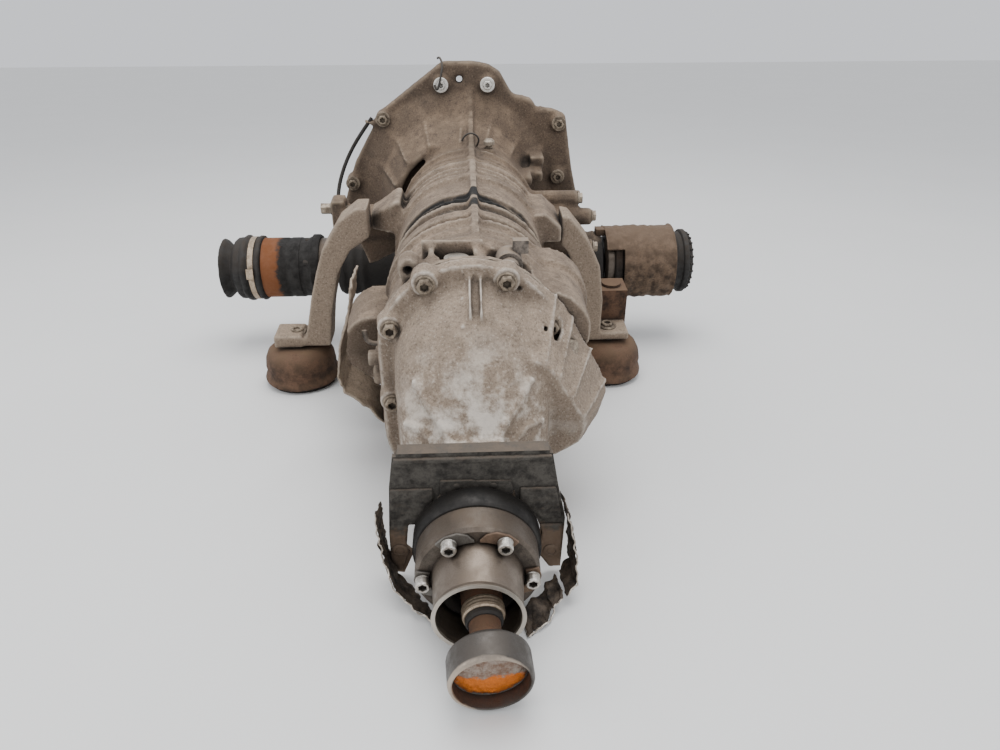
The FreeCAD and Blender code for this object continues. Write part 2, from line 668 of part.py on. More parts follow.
driven = [gears[name][1].cut(rod_y(HOLLOW_R, -100, -480, *OUTPUT)) for name in ("third", "fourth", "fifth")]
piece("driven_gears", group(driven + [reverse_out]))
LOOSE = {"first": ("output", -1), "second": ("output", 1), "third": ("input", -1), "fourth": ("input", 1),
         "fifth": ("input", -1)}
for name, (shaft, dog_side) in LOOSE.items():
    on_input = shaft == "input"
    solid = gears[name][0] if on_input else gears[name][1]
    centre = INPUT if on_input else OUTPUT
    bore = (INPUT_R if on_input else HOLLOW_R) + GAP
    piece(f"{name}_gear", loose(solid, bore, PAIRS[name][1], WIDTH, centre, dog_side))
piece("reverse_gear", loose(reverse_in, INPUT_R + GAP, REVERSE_FRONT, REVERSE_WIDTH, INPUT, 0))
piece("reverse_idler", idler)
piece("reverse_axle", rod_y(AXLE_RADIUS, REVERSE_FRONT + 0.8, ROD_END, *IDLER))

# ------------------------------------------------- synchroniser sleeves and forks

SLEEVE_R = size("sleeve_radius")
GROOVE_R = size("groove_radius")
GROOVE_W = size("groove_width")
FORK_RAILS = {"first_second": LOWER_RAIL, "third_fourth": UPPER_RAIL, "fifth_reverse": UPPER_RAIL}
SLEEVE_W = HUB_W
FORK_W = GROOVE_W - 2 * GAP

for name, (front, centre) in HUBS.items():
    half = (SLEEVE_W - GROOVE_W) / 2
    profile = [(0, HUB_R + GAP), (0, SLEEVE_R), (-half, SLEEVE_R), (-half, GROOVE_R),
               (-half - GROOVE_W, GROOVE_R), (-half - GROOVE_W, SLEEVE_R), (-SLEEVE_W, SLEEVE_R),
               (-SLEEVE_W, HUB_R + GAP)]
    where = ("Dims.output_side" if centre == OUTPUT else 0, front, "-Dims.output_drop" if centre == OUTPUT else 0)
    turned(f"{name}_sleeve", profile, "Y", where)


def fork(name):
    """Half a ring in the sleeve's groove, on a boss that slides on its rail."""
    front, centre = HUBS[name]
    rail = FORK_RAILS[name]
    start = front - (SLEEVE_W - FORK_W) / 2
    ring = ring_y(56, GROOVE_R + GAP + 0.1, start, start - FORK_W, *centre)
    toward = math.degrees(math.atan2(rail[1] - centre[1], rail[0] - centre[0]))
    half_plane = Part.makeBox(120, FORK_W + 2, 240, V(0, start - FORK_W - 1, -120))
    half_plane.rotate(V(0, 0, 0), Y_AXIS, -toward)
    half_plane.translate(V(centre[0], 0, centre[1]))
    arch = ring.common(half_plane)
    reach = math.hypot(rail[0] - centre[0], rail[1] - centre[1])
    web = Part.makeBox(reach - 50, FORK_W, 22, V(50, start - FORK_W, -11))
    web.rotate(V(0, 0, 0), Y_AXIS, -toward)
    web.translate(V(centre[0], 0, centre[1]))
    middle = start - FORK_W / 2
    boss = rod_y(12, middle + 8, middle - 8, *rail)
    return fuse([arch, web, boss]).cut(rod_y(RAIL_R + RUN, start + 20, start - 40, *rail))


for name in HUBS:
    piece(f"{name}_fork", fork(name))
rails = [rod_y(RAIL_R, -240, ROD_END, *UPPER_RAIL), rod_y(RAIL_R, -201, ROD_END, *LOWER_RAIL)]
piece("selector_rails", group(rails))

# ------------------------------------------------------------- selector shaft

turned("selector_sleeve", [(46, 7.05), (46, 12), (60, 12), (60, 14), (63, 14), (63, 7.05)], "Z",
       (SELECTOR[0], SELECTOR[1], 0))
selector = [rod_z(7, 15, 76, *SELECTOR), rod_z(9, 70, 78, *SELECTOR), rod_z(13, 76, 84, *SELECTOR)]
selector.append(block((SELECTOR[0] - 4, SELECTOR[0] + 4), (SELECTOR[1], SELECTOR[1] + 24), (16, 24)))
piece("selector_shaft", fuse(selector))

# ----------------------------------------------- pinion, differentials, side outputs

PINION_TEETH = 11
RING_TEETH = 41
BEVEL_MODULE = 2.5
RING_R = RING_TEETH * BEVEL_MODULE / 2
PINION_R = PINION_TEETH * BEVEL_MODULE / 2
FACE = 8
pinion_front = AXLE - RING_R + FACE / 2
pinion = gear(PINION_TEETH, 180, pinion_front, FACE, OUTPUT, 0, BEVEL_MODULE)
pinion_line = [pinion, rod_y(size("pinion_radius"), pinion_front - 2, -500, *OUTPUT), rod_y(34, -478, -498, *OUTPUT)]
piece("pinion_shaft", fuse(pinion_line))


def ring_gear():
    """A crown ring with radial teeth on its face, about the side axis."""
    mesh_x = SIDE - PINION_R
    root_x = mesh_x - 1.15 * BEVEL_MODULE
    tip_x = mesh_x + 0.6 * BEVEL_MODULE
    ring = rod_x(RING_R + FACE / 2 - 0.5, root_x - 13, root_x, 0, 0)
    ring = ring.cut(rod_x(38, root_x - 14, root_x + 1, 0, 0))
    inner = RING_R - FACE / 2
    outer = RING_R + FACE / 2 - 1
    base_half = math.pi * 0.17 / RING_TEETH * 2
    tip_half = base_half * 0.42
    teeth = []
    for i in range(RING_TEETH):
        # A gap, not a tooth, faces the pinion at rest.
        middle = math.pi + math.pi / RING_TEETH + 2 * math.pi * i / RING_TEETH
        wires = []
        for x, half in ((root_x - 1, base_half), (tip_x, tip_half)):
            corners = [(inner, middle - half), (outer, middle - half), (outer, middle + half), (inner, middle + half)]
            ring_points = [V(x, r * math.cos(a), r * math.sin(a)) for r, a in corners]
            wires.append(Part.makePolygon(ring_points + ring_points[:1]))
        teeth.append(Part.makeLoft(wires, True, True))
    solid = ring.multiFuse(teeth)
    solid.translate(V(0, AXLE, DROP))
    return solid


piece("ring_gear", ring_gear())
RING_BACK = SIDE - PINION_R - 1.15 * BEVEL_MODULE
turned("diff_case", [(-50, SHAFT_R + 0.3), (-50, 24), (-34, 24), (-34, 38), (RING_BACK, 38), (RING_BACK + 0.01, 34), (52, 34),
                     (52, 24), (66, 24), (66, SHAFT_R + 0.3), (44, SHAFT_R + 0.3), (44, 26), (-28, 26),
                     (-28, SHAFT_R + 0.3)], "X", (0, "-Dims.axle_back", "-Dims.output_drop"))
turned("centre_diff_case", [(-452, 24), (-452, 46), (-545, 46), (-545, SHAFT_R + 0.3), (-536, SHAFT_R + 0.3), (-536, 38),
                            (-472, 38), (-472, 24)], "Y", ("Dims.output_side", 0, "-Dims.output_drop"))

JOINT_R = size("side_joint_radius")
LEFT = -size("left_flange_reach")
RIGHT = size("right_flange_reach")
AXLE_PLACE = (0, "-Dims.axle_back", "-Dims.output_drop")
turned("left_output_flange", [(-24, 0), (-24, "Dims.side_shaft_radius"), (LEFT + 8, "Dims.side_shaft_radius"),
                              (LEFT + 8, 30), (LEFT, 46), (LEFT - 10, 46), (LEFT - 10, 0)], "X", AXLE_PLACE)
turned("left_joint_can", [(LEFT - 10, 0), (LEFT - 10, 49), (LEFT - 22, 49), (LEFT - 22, 46), (LEFT - 38, 46),
                          (LEFT - 38, "Dims.side_joint_radius"), (LEFT - 101, "Dims.side_joint_radius"),
                          (LEFT - 101, 38), (LEFT - 60, 36), (LEFT - 60, 0)], "X", AXLE_PLACE)
turned("left_boot", [(LEFT - 101, 30), (LEFT - 101, 51), (LEFT - 112, 51), (LEFT - 112, 49), (LEFT - 124, 49),
                     (LEFT - 126, 52), (LEFT - 132, 50), (LEFT - 146, 46), (LEFT - 150, 38), (LEFT - 156, 40),
                     (LEFT - 165, 47), (LEFT - 165, 43), (LEFT - 156, 34), (LEFT - 146, 34), (LEFT - 110, 40),
                     (LEFT - 110, 30)], "X", AXLE_PLACE)
turned("right_output_flange", [(40, 0), (40, "Dims.side_shaft_radius"), (236, "Dims.side_shaft_radius"), (236, 40),
                               (240, 46), (RIGHT - 1, 46), (RIGHT - 1, 0)], "X", AXLE_PLACE)
turned("right_joint_can", [(RIGHT - 1, 0), (RIGHT - 1, 49), (RIGHT + 12, 49), (RIGHT + 12, 46),
                           (RIGHT + 30, "Dims.side_joint_radius"), (RIGHT + 92, "Dims.side_joint_radius"),
                           (RIGHT + 92, 38), (RIGHT + 50, 36), (RIGHT + 50, 0)], "X", AXLE_PLACE)
turned("right_boot", [(RIGHT + 92, 30), (RIGHT + 92, 51), (RIGHT + 100, 51), (RIGHT + 100, 47), (RIGHT + 110, 47),
                      (RIGHT + 110, 51), (RIGHT + 118, 51), (RIGHT + 118, 44), (RIGHT + 125, 44), (RIGHT + 125, 24),
                      (RIGHT + 119, 24), (RIGHT + 117, 41), (RIGHT + 100, 41), (RIGHT + 100, 30)], "X", AXLE_PLACE)

# ----------------------------------------------------------- rear output and joint

REAR = -size("rear_face")
REAR_PLACE = ("Dims.output_side", 0, "-Dims.output_drop")
turned("rear_flange", [(-506, 0), (-506, 34), (-530, 34), (-530, "Dims.side_shaft_radius"),
                       (REAR, "Dims.side_shaft_radius"), (REAR, 53), (REAR - 12, 53), (REAR - 12, 0)],
       "Y", REAR_PLACE)
JOINT_BACK = REAR - 48
PIVOT = REAR - 31
turned("rear_joint_ring", [(REAR - 12, 30), (REAR - 12, "Dims.rear_joint_radius - 2"), (REAR - 15, "Dims.rear_joint_radius"),
                           (JOINT_BACK + 3, "Dims.rear_joint_radius"), (JOINT_BACK, "Dims.rear_joint_radius - 3"),
                           (JOINT_BACK, 30)], "Y", REAR_PLACE)
turned("rear_joint_cap", [(JOINT_BACK, 30), (JOINT_BACK, 40), (JOINT_BACK - 10, 39), (JOINT_BACK - 40, 37),
                          (JOINT_BACK - 46, 39), (JOINT_BACK - 46, 35.5), (JOINT_BACK - 40, 34.5),
                          (JOINT_BACK - 10, 36), (JOINT_BACK - 4, 30)], "Y", REAR_PLACE)
rear_bolts = []
for step in range(6):
    angle = math.radians(90 + 30 + 60 * step)
    x = SIDE + size("joint_bolt_circle") * math.cos(angle)
    z = DROP + size("joint_bolt_circle") * math.sin(angle)
    head = rod_y(6.5, JOINT_BACK - 2, JOINT_BACK - 11, x, z).cut(rod_y(3.6, JOINT_BACK - 6, JOINT_BACK - 12, x, z))
    rear_bolts.append(head.fuse(rod_y(4, JOINT_BACK, JOINT_BACK - 3, x, z)))
shims = []
for step in range(3):
    middle = 30 + 60 + 120 * step
    low, high = (math.radians(middle - 41), math.radians(middle + 41))
    points = []
    for i in range(7):
        angle = low + (high - low) * i / 6
        points.append((SIDE + 42.5 * math.cos(angle), DROP + 42.5 * math.sin(angle)))
    for angle in (high, math.radians(middle), low):
        reach = 53.5 if angle != math.radians(middle) else 53
        points.append((SIDE + reach * math.cos(angle), DROP + reach * math.sin(angle)))
    shims.append(prism_y(points, JOINT_BACK, JOINT_BACK - 2))
piece("rear_joint_shims", group([shim.cut(group(rear_bolts)) for shim in shims]))
piece("rear_joint_bolts", group(rear_bolts))

DROOP = 3
SWING = 4
PIVOT_BORES = [rod_x(5, -20, 60, PIVOT, DROP), rod_z(5, DROP - 40, DROP + 40, SIDE, PIVOT)]
piece("joint_cage", cut(ring_y(27, 20.5, PIVOT + 12, PIVOT - 12, *OUTPUT), PIVOT_BORES))
STUB = [(PIVOT + 10, 0), (PIVOT + 10, 17), (PIVOT - 10, 17), (PIVOT - 10, 13), (PIVOT - 42, 13), (PIVOT - 46, 18),
        (PIVOT - 58, 17), (PIVOT - 66, 16), (PIVOT - 66, 13), (PIVOT - 92, 13), (PIVOT - 92, 0)]
CUP_END = [(PIVOT - 92, 0), (PIVOT - 92, 30), (PIVOT - 96, 33.5), (PIVOT - 118, 33.5), (PIVOT - 121, 32),
           (PIVOT - 121, 29.5), (PIVOT - 108, 29.5), (PIVOT - 108, 0)]


def drooped(points):
    """A turned solid about the output axis, then tipped down at the joint's pivot."""
    wire = Part.makePolygon([V(0, y, r) for y, r in points + points[:1]])
    solid = Part.Face(wire).revolve(V(0, 0, 0), Y_AXIS, 360)
    solid.translate(V(SIDE, 0, DROP))
    solid.rotate(V(SIDE, PIVOT, DROP), X_AXIS, DROOP)
    solid.rotate(V(SIDE, PIVOT, DROP), Z_AXIS, SWING)
    return solid


piece("propshaft_stub", fuse([drooped(STUB), drooped(CUP_END)]).cut(PIVOT_BORES[1]))
turned("release_bearing", [(-38, GUIDE_R + RUN), (-38, 34), (-52, 34), (-52, GUIDE_R + RUN)])

# ------------------------------------------------------------- checks and output

doc.recompute()
os.makedirs("parts", exist_ok=True)
for thing in doc.Objects:
    if "Invalid" in thing.State or "Error" in thing.State:
        raise RuntimeError(f"{thing.Label} did not build")
for part in parts:
    shape = part.Shape
    if shape.isNull() or not shape.isValid():
        raise RuntimeError(f"{part.Label} has no valid shape")
    if not shape.Solids:
        raise RuntimeError(f"{part.Label} holds no solid")
for part in parts:
    part.Shape.exportStep(os.path.join("parts", part.Label + ".step"))
    print(f"{part.Label:24s} {len(part.Shape.Solids):3d} solids  {part.Shape.Volume / 1000:9.1f} cm3")
print(len(parts), "nodes")
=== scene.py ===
import json
import math

import bmesh
import bpy
import numpy as np
from mathutils import Matrix, Vector, noise


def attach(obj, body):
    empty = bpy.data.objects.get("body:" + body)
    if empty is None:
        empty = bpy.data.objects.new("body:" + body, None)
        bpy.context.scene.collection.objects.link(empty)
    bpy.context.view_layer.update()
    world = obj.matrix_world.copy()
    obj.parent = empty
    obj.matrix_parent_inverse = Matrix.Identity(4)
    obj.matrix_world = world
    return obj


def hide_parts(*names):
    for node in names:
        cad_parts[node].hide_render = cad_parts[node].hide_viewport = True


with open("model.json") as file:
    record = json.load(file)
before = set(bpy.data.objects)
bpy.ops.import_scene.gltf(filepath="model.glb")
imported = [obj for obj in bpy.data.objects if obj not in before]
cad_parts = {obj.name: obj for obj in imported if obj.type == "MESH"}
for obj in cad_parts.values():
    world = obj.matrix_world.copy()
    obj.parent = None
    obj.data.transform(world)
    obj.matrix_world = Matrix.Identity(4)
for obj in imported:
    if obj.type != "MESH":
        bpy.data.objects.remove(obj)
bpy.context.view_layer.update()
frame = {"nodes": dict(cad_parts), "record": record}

MM = 0.001
NODES = frame["nodes"]
# Places in the row frame, in millimetres.
SHAFT_X = 20.0                       # the main shafts' line
TOP_SHAFT_Z = -4.0
OUTPUT_Z = -103.0
AXLE = (-92.0, OUTPUT_Z)             # the side joints' axis, as (y, z)
PIVOT = Vector((SHAFT_X, -755.0, OUTPUT_Z))
FOOT_Y = -262
FOOT_XS = (-232, 219)
FOOT_TOP = -132
TINY = 1e-6


# ------------------------------------------------------------------ materials

def srgb(r, g, b):
    """A colour given as 0 to 255 display values."""
    return tuple((c / 255 / 12.92) if c < 10.3 else ((c / 255 + 0.055) / 1.055) ** 2.4 for c in (r, g, b))


PAINTS = {}


class Paint:
    """A material's node tree, with short names for the nodes it uses most."""

    def __init__(self, name, rough=0.6, metal=0.0):
        self.mat = PAINTS[name] = bpy.data.materials.new(name)
        self.mat.use_nodes = True
        self.tree = self.mat.node_tree
        self.bsdf = self.tree.nodes["Principled BSDF"]
        self.bsdf.inputs["Roughness"].default_value = rough
        self.bsdf.inputs["Metallic"].default_value = metal
        self.coords = self.tree.nodes.new("ShaderNodeTexCoord").outputs["Object"]
        self.height = None

    def node(self, kind, **values):
        made = self.tree.nodes.new(kind)
        for key, value in values.items():
            setattr(made, key, value)
        return made

    def link(self, source, target):
        self.tree.links.new(source, target)

    def noise(self, scale, detail=4.0, rough=0.6, warp=0.0):
        made = self.node("ShaderNodeTexNoise")
        made.inputs["Scale"].default_value = scale
        made.inputs["Detail"].default_value = detail
        made.inputs["Roughness"].default_value = rough
        made.inputs["Distortion"].default_value = warp
        self.link(self.coords, made.inputs["Vector"])
        return made.outputs["Fac"]

    def steps(self, source, low, high, a=0.0, b=1.0):
        """The source's range low to high, turned into a to b."""
        made = self.node("ShaderNodeMapRange")
        for key, value in (("From Min", low), ("From Max", high), ("To Min", a), ("To Max", b)):
            made.inputs[key].default_value = value
        self.link(source, made.inputs["Value"])
        return made.outputs["Result"]

    def feed(self, socket, value):
        """Gives a socket a number, a colour or another node's output."""
        if isinstance(value, (int, float)):
            socket.default_value = value
        elif isinstance(value, tuple):
            socket.default_value = (*value, 1.0)
        else:
            self.link(value, socket)

    def math(self, operation, a, b):
        made = self.node("ShaderNodeMath", operation=operation)
        made.use_clamp = True
        self.feed(made.inputs[0], a)
        self.feed(made.inputs[1], b)
        return made.outputs[0]

    def mix(self, factor, a, b):
        made = self.node("ShaderNodeMix", data_type="RGBA")
        for number, value in ((0, factor), (6, a), (7, b)):
            self.feed(made.inputs[number], value)
        return made.outputs[2]

    def facing_up(self, low, high):
        """0 to 1 as a face turns upwards."""
        split = self.node("ShaderNodeSeparateXYZ")
        self.link(self.node("ShaderNodeNewGeometry").outputs["Normal"], split.inputs[0])
        return self.steps(split.outputs["Z"], low, high)

    def place(self, letter, low, high):
        """0 to 1 between two places along one axis of the row frame."""
        split = self.node("ShaderNodeSeparateXYZ")
        self.link(self.coords, split.inputs[0])
        return self.steps(split.outputs[letter], low, high)

    def edges(self, low, high):
        """0 to 1 on sharp outer edges."""
        return self.steps(self.node("ShaderNodeNewGeometry").outputs["Pointiness"], low, high)

    def crevices(self, reach, low=0.35, high=0.85):
        """0 to 1 in hollows within a reach in metres."""
        made = self.node("ShaderNodeAmbientOcclusion")
        made.samples = 6
        made.inputs["Distance"].default_value = reach
        return self.steps(made.outputs["AO"], high, low)

    def colour(self, source):
        self.link(source, self.bsdf.inputs["Base Color"])

    def rough(self, source):
        self.link(source, self.bsdf.inputs["Roughness"])

    def bump(self, source, strength, distance):
        made = self.node("ShaderNodeBump")
        made.inputs["Strength"].default_value = strength
        made.inputs["Distance"].default_value = distance
        self.link(source, made.inputs["Height"])
        if self.height:
            self.link(self.height, made.inputs["Normal"])
        self.height = made.outputs["Normal"]
        self.link(self.height, self.bsdf.inputs["Normal"])


# Near black for the painted shadow in the grooves between ribs.
GROOVE_SHADOW = (0.006, 0.005, 0.004)
# Near black for the painted shade in shaded zones.
SHADE_BLACK = (0.010, 0.009, 0.008)


def cast_paint(name, dust, metal, grime_and_shade, bright, wear=0.5, oil=0.45, rub=None, grooves=(),
               painted_shade=()):
    """Cast aluminium: dust on its upper faces, oil stains, dirt and painted shade in its hollows, and rubbed
    edges.

    rub is (axis, from, to), where the metal is worn bright. grooves are (front, rear) bands along Y on
    the top, painted near black as the shadow between ribs. The last argument's zones, each a list of
    (axis, from, to), are painted near black as shade.
    """
    p = Paint(name, 0.85)
    broad = p.noise(14, 6, 0.62, warp=0.6)
    medium = p.noise(60, 6, 0.7)
    fine = p.noise(420, 5, 0.75)
    up = p.facing_up(-0.35, 0.75)
    base = p.mix(p.math("MULTIPLY", up, p.steps(medium, 0.3, 0.62)), metal, dust)
    base = p.mix(p.steps(fine, 0.56, 0.74, 0, 0.55), base, bright)
    base = p.mix(p.steps(fine, 0.47, 0.30, 0, 0.75), base, grime_and_shade)
    stain = p.math("MULTIPLY", p.steps(broad, 0.44, 0.68), p.steps(medium, 0.36, 0.6))
    base = p.mix(p.math("MULTIPLY", stain, oil), base, grime_and_shade)
    # Dirt and painted shade: darker in the hollows that ambient occlusion finds.
    base = p.mix(p.math("MULTIPLY", p.crevices(0.022), 0.9), base, grime_and_shade)
    worn = p.math("MULTIPLY", p.edges(0.515, 0.56), p.steps(medium, 0.3, 0.55, 0.2, 1.0))
    base = p.mix(p.math("MULTIPLY", worn, wear), base, bright)
    if rub:
        letter, low, high = rub
        patch = p.math("MULTIPLY", p.place(letter, low, high), p.steps(p.noise(30, 5, 0.7), 0.45, 0.6))
        base = p.mix(p.math("MULTIPLY", patch, 0.8), base, bright)
        p.rough(p.steps(patch, 0, 1, 0.85, 0.5))
    # Painted shadow: the grooves between the top ribs are painted near black.
    for front, rear in grooves:
        inside = p.math("MULTIPLY", p.place("Y", front, front - 0.003), p.place("Y", rear, rear + 0.003))
        inside = p.math("MULTIPLY", inside, p.place("Z", 0.0, 0.02))
        shaded = p.math("MULTIPLY", inside, p.steps(broad, 0.36, 0.5, 0.45, 1.0))
        base = p.mix(shaded, base, GROOVE_SHADOW)
    # Painted shade: each zone is painted near black.
    for zone in painted_shade:
        black = 0.95
        for letter, low, high in zone:
            black = p.math("MULTIPLY", p.place(letter, low, high), black)
        base = p.mix(black, base, SHADE_BLACK)
    p.colour(base)
    p.bump(medium, 0.35, 0.003)
    p.bump(fine, 0.7, 0.0011)
    p.bump(p.noise(1500, 2, 0.6), 0.35, 0.0004)
    return p.mat


DUST = srgb(160, 142, 123)
METAL = srgb(122, 107, 92)
# The dark of dirt, also used as the painted shade in hollows.
GRIME_AND_SHADE = srgb(38, 32, 27)
BRIGHT = srgb(196, 184, 168)
# Zones at the bell's left and right, painted near black as shade.
SHADED_LEFT = (("X", -0.085, -0.100), ("Z", -0.052, -0.066), ("Y", -0.030, -0.045))
SHADED_RIGHT = (("X", 0.128, 0.140), ("Z", -0.050, -0.062), ("Y", -0.030, -0.045))
BELL_PAINT = cast_paint("bell_casting", srgb(128, 108, 88), srgb(78, 64, 52), srgb(24, 20, 17),
                        srgb(158, 142, 122), 0.5, 0.75, painted_shade=(SHADED_LEFT, SHADED_RIGHT))
# Its top gets painted shadow in the grooves between its ribs.
CASE_PAINT = cast_paint("case_casting", srgb(146, 127, 108), srgb(96, 82, 69), srgb(26, 22, 19),
                        srgb(186, 172, 154), 0.6, 0.6, grooves=((-0.326, -0.362), (-0.368, -0.396)))
COVER_PAINT = cast_paint("cover_casting", DUST, METAL, GRIME_AND_SHADE, srgb(226, 218, 206), 0.6, 0.28,
                         rub=("Y", -0.60, -0.665))
ARM_PAINT = cast_paint("arm_casting", srgb(154, 136, 116), srgb(126, 110, 94), GRIME_AND_SHADE, BRIGHT, 0.3, 0.12)


def metal_paint(name, light, dark, rough, metal, stain=0.5, scale=60, bump=0.3, grain=700, upper=None,
                change=None):
    """A metal, rubber or plastic with blotches of a darker stain and grain.

    upper is the colour of the dust on its upper faces. change is (axis, from, to, colour), for a
    part that has another colour past a place.
    """
    p = Paint(name, rough, metal)
    blotch = p.noise(scale, 6, 0.7)
    grains = p.noise(grain, 4, 0.7)
    base = p.mix(p.steps(blotch, 0.42, 0.62, 0, stain), light, dark)
    base = p.mix(p.steps(grains, 0.5, 0.3, 0, 0.6), base, dark)
    if change:
        letter, low, high, other = change
        edge = p.math("ADD", p.place(letter, low, high), p.steps(blotch, 0.3, 0.7, -0.3, 0.3))
        base = p.mix(p.steps(edge, 0.35, 0.65), base, other)
    if upper:
        dusty = p.math("MULTIPLY", p.facing_up(0.0, 1.0), p.steps(blotch, 0.35, 0.6, 0.15, 0.8))
        base = p.mix(dusty, base, upper)
    # Dirt and painted shade: darker in the hollows that ambient occlusion finds.
    base = p.mix(p.math("MULTIPLY", p.crevices(0.008), 0.8), base, GRIME_AND_SHADE)
    p.colour(base)
    p.rough(p.steps(blotch, 0.4, 0.62, rough, min(1, rough + 0.25)))
    p.bump(blotch, bump, 0.0008)
    p.bump(grains, bump, 0.0004)
    return p.mat


metal_paint("bright_steel", srgb(190, 184, 174), srgb(96, 84, 72), 0.38, 0.9)
metal_paint("bolt_steel", srgb(170, 158, 142), srgb(84, 70, 58), 0.5, 0.75, 0.6, 90)
DUSTY_BOLT = metal_paint("dusty_bolt", srgb(150, 136, 118), srgb(60, 50, 42), 0.75, 0.3, 0.7, 120, 0.6)
SILVER = metal_paint("silver_bolt", srgb(214, 210, 202), srgb(110, 98, 84), 0.3, 0.95, 0.5, 120)
metal_paint("joint_steel", srgb(100, 91, 82), srgb(46, 41, 37), 0.38, 0.65, 0.75, 45, 0.3, 900,
            srgb(106, 93, 80))
CAP_PAINT = metal_paint("cap_steel", srgb(122, 111, 100), srgb(66, 60, 54), 0.32, 0.75, 0.6, 30, 0.15, 900,
                        srgb(120, 107, 94), ("Y", -0.8145, -0.8175, srgb(196, 188, 176)))
CUP_PAINT = metal_paint("cup_steel", srgb(88, 84, 80), srgb(40, 37, 34), 0.36, 0.7, 0.7, 45, 0.2, 900,
                        srgb(92, 86, 80), ("Y", -0.8725, -0.8765, srgb(176, 162, 146)))
DARK_RING = metal_paint("dark_ring", srgb(40, 37, 34), srgb(16, 15, 14), 0.4, 0.5, 0.6, 60, 0.3, 700)
GREY_PLATE = metal_paint("grey_shim", srgb(118, 114, 108), srgb(70, 62, 54), 0.45, 0.7, 0.5, 60, 0.2)
BROWN_PLATE = metal_paint("brown_shim", srgb(124, 102, 84), srgb(78, 62, 50), 0.5, 0.5, 0.5, 60, 0.2)
RUST_SHAFT = metal_paint("rusty_shaft", srgb(98, 66, 46), srgb(34, 27, 22), 0.75, 0.3, 0.8, 90, 0.8, 500,
                         srgb(110, 84, 64))
CAN = metal_paint("left_can", srgb(36, 33, 30), srgb(18, 16, 15), 0.7, 0.2, 0.6, 60, 0.8, 500, None,
                  ("X", -0.270, -0.290, srgb(122, 74, 42)))
RIGHT_CAN = metal_paint("right_can", srgb(44, 38, 33), srgb(20, 17, 15), 0.75, 0.2, 0.8, 60, 0.9, 500,
                        srgb(82, 64, 50))
SHIELD_SKIN = metal_paint("shield_skin", srgb(104, 84, 66), srgb(36, 29, 24), 0.7, 0.25, 0.8, 60, 1.0, 300,
                          srgb(120, 100, 82))
GREASE = metal_paint("grease_disc", srgb(156, 142, 130), srgb(112, 80, 58), 0.5, 0.3, 0.8, 160, 1.5, 700,
                     None, ("Z", -0.106, -0.120, srgb(206, 112, 30)))
FOIL_EDGE = metal_paint("foil_edge", srgb(214, 206, 194), srgb(120, 104, 88), 0.35, 0.7, 0.6, 120, 0.5)
BAND = metal_paint("boot_band", srgb(186, 168, 146), srgb(110, 94, 78), 0.4, 0.7, 0.5, 120, 0.3)
RUST = metal_paint("rusty_steel", srgb(96, 70, 52), srgb(34, 27, 23), 0.8, 0.15, 0.85, 45, 1.0, 500,
                   srgb(122, 98, 76))
metal_paint("gear_steel", srgb(176, 172, 166), srgb(110, 100, 88), 0.35, 0.95, 0.4)
metal_paint("bronze", srgb(196, 158, 96), srgb(110, 84, 48), 0.4, 0.9, 0.4)
RUBBER = metal_paint("black_rubber", srgb(32, 30, 28), srgb(12, 11, 10), 0.7, 0.0, 0.6, 80, 0.6, 600,
                     srgb(66, 58, 50))
PLATE = metal_paint("black_plate", srgb(74, 70, 64), srgb(30, 27, 24), 0.8, 0.1, 0.85, 70, 1.2, 420,
                    srgb(112, 100, 88), ("Z", -0.085, -0.120, srgb(108, 90, 74)))
PLASTIC = metal_paint("black_plastic", srgb(46, 43, 40), srgb(22, 20, 18), 0.6, 0.0, 0.4, 80, 0.3, 600,
                      srgb(96, 86, 76))
FOIL = metal_paint("heat_foil", srgb(84, 72, 60), srgb(26, 22, 19), 0.6, 0.3, 0.9, 60, 1.0, 300)


# ------------------------------------------------------------------ mesh tools
# Every shape below is (points, faces), in millimetres in the row frame.

def turn_to(axis):
    """The turn that takes Z to an axis."""
    return Vector(axis).normalized().to_track_quat("Z", "Y").to_matrix()


def lathe(profile, origin, axis, segments=48):
    """Points (along, radius) turned about an axis; a loop, or open where both ends are on the axis."""
    frame3 = turn_to(axis)
    points, rows, faces = [], [], []
    for along, radius in profile:
        if radius < TINY:
            rows.append([len(points)] * segments)
            points.append(Vector(origin) + frame3 @ Vector((0, 0, along)))
            continue
        rows.append(range(len(points), len(points) + segments))
        for i in range(segments):
            angle = 2 * math.pi * i / segments
            spoke = Vector((radius * math.cos(angle), radius * math.sin(angle), along))
            points.append(Vector(origin) + frame3 @ spoke)
    closed = profile[0][1] > TINY and profile[-1][1] > TINY
    pairs = list(zip(rows, rows[1:])) + ([(rows[-1], rows[0])] if closed else [])
    for a, b in pairs:
        for i in range(segments):
            j = (i + 1) % segments
            ring = [a[i], a[j], b[j], b[i]]
            face = [v for k, v in enumerate(ring) if v != ring[k - 1]]
            if len(face) > 2:
                faces.append(face)
    return points, faces


def rod(start, end, radius, end_radius=None, segments=24):
    """A round bar, tapered where it has an end radius."""
    run = Vector(end) - Vector(start)
    far = radius if end_radius is None else end_radius
    return lathe([(0, 0), (0, radius), (run.length, far), (run.length, 0)], start, run, segments)


def slab(points, axis, low, high):
    """A polygon pushed along one axis. Points are the other two coordinates, in X, Y, Z order."""
    def at(a, b, c):
        return {"X": (c, a, b), "Y": (a, c, b), "Z": (a, b, c)}[axis]
    count = len(points)
    ring = [Vector(at(a, b, low)) for a, b in points] + [Vector(at(a, b, high)) for a, b in points]
    faces = [[i, (i + 1) % count, count + (i + 1) % count, count + i] for i in range(count)]
    return ring, faces + [list(range(count))[::-1], list(range(count, 2 * count))]


def brick(x, y, z):
    """A box from its (low, high) along each axis."""
    return slab([(x[0], y[0]), (x[1], y[0]), (x[1], y[1]), (x[0], y[1])], "Z", z[0], z[1])


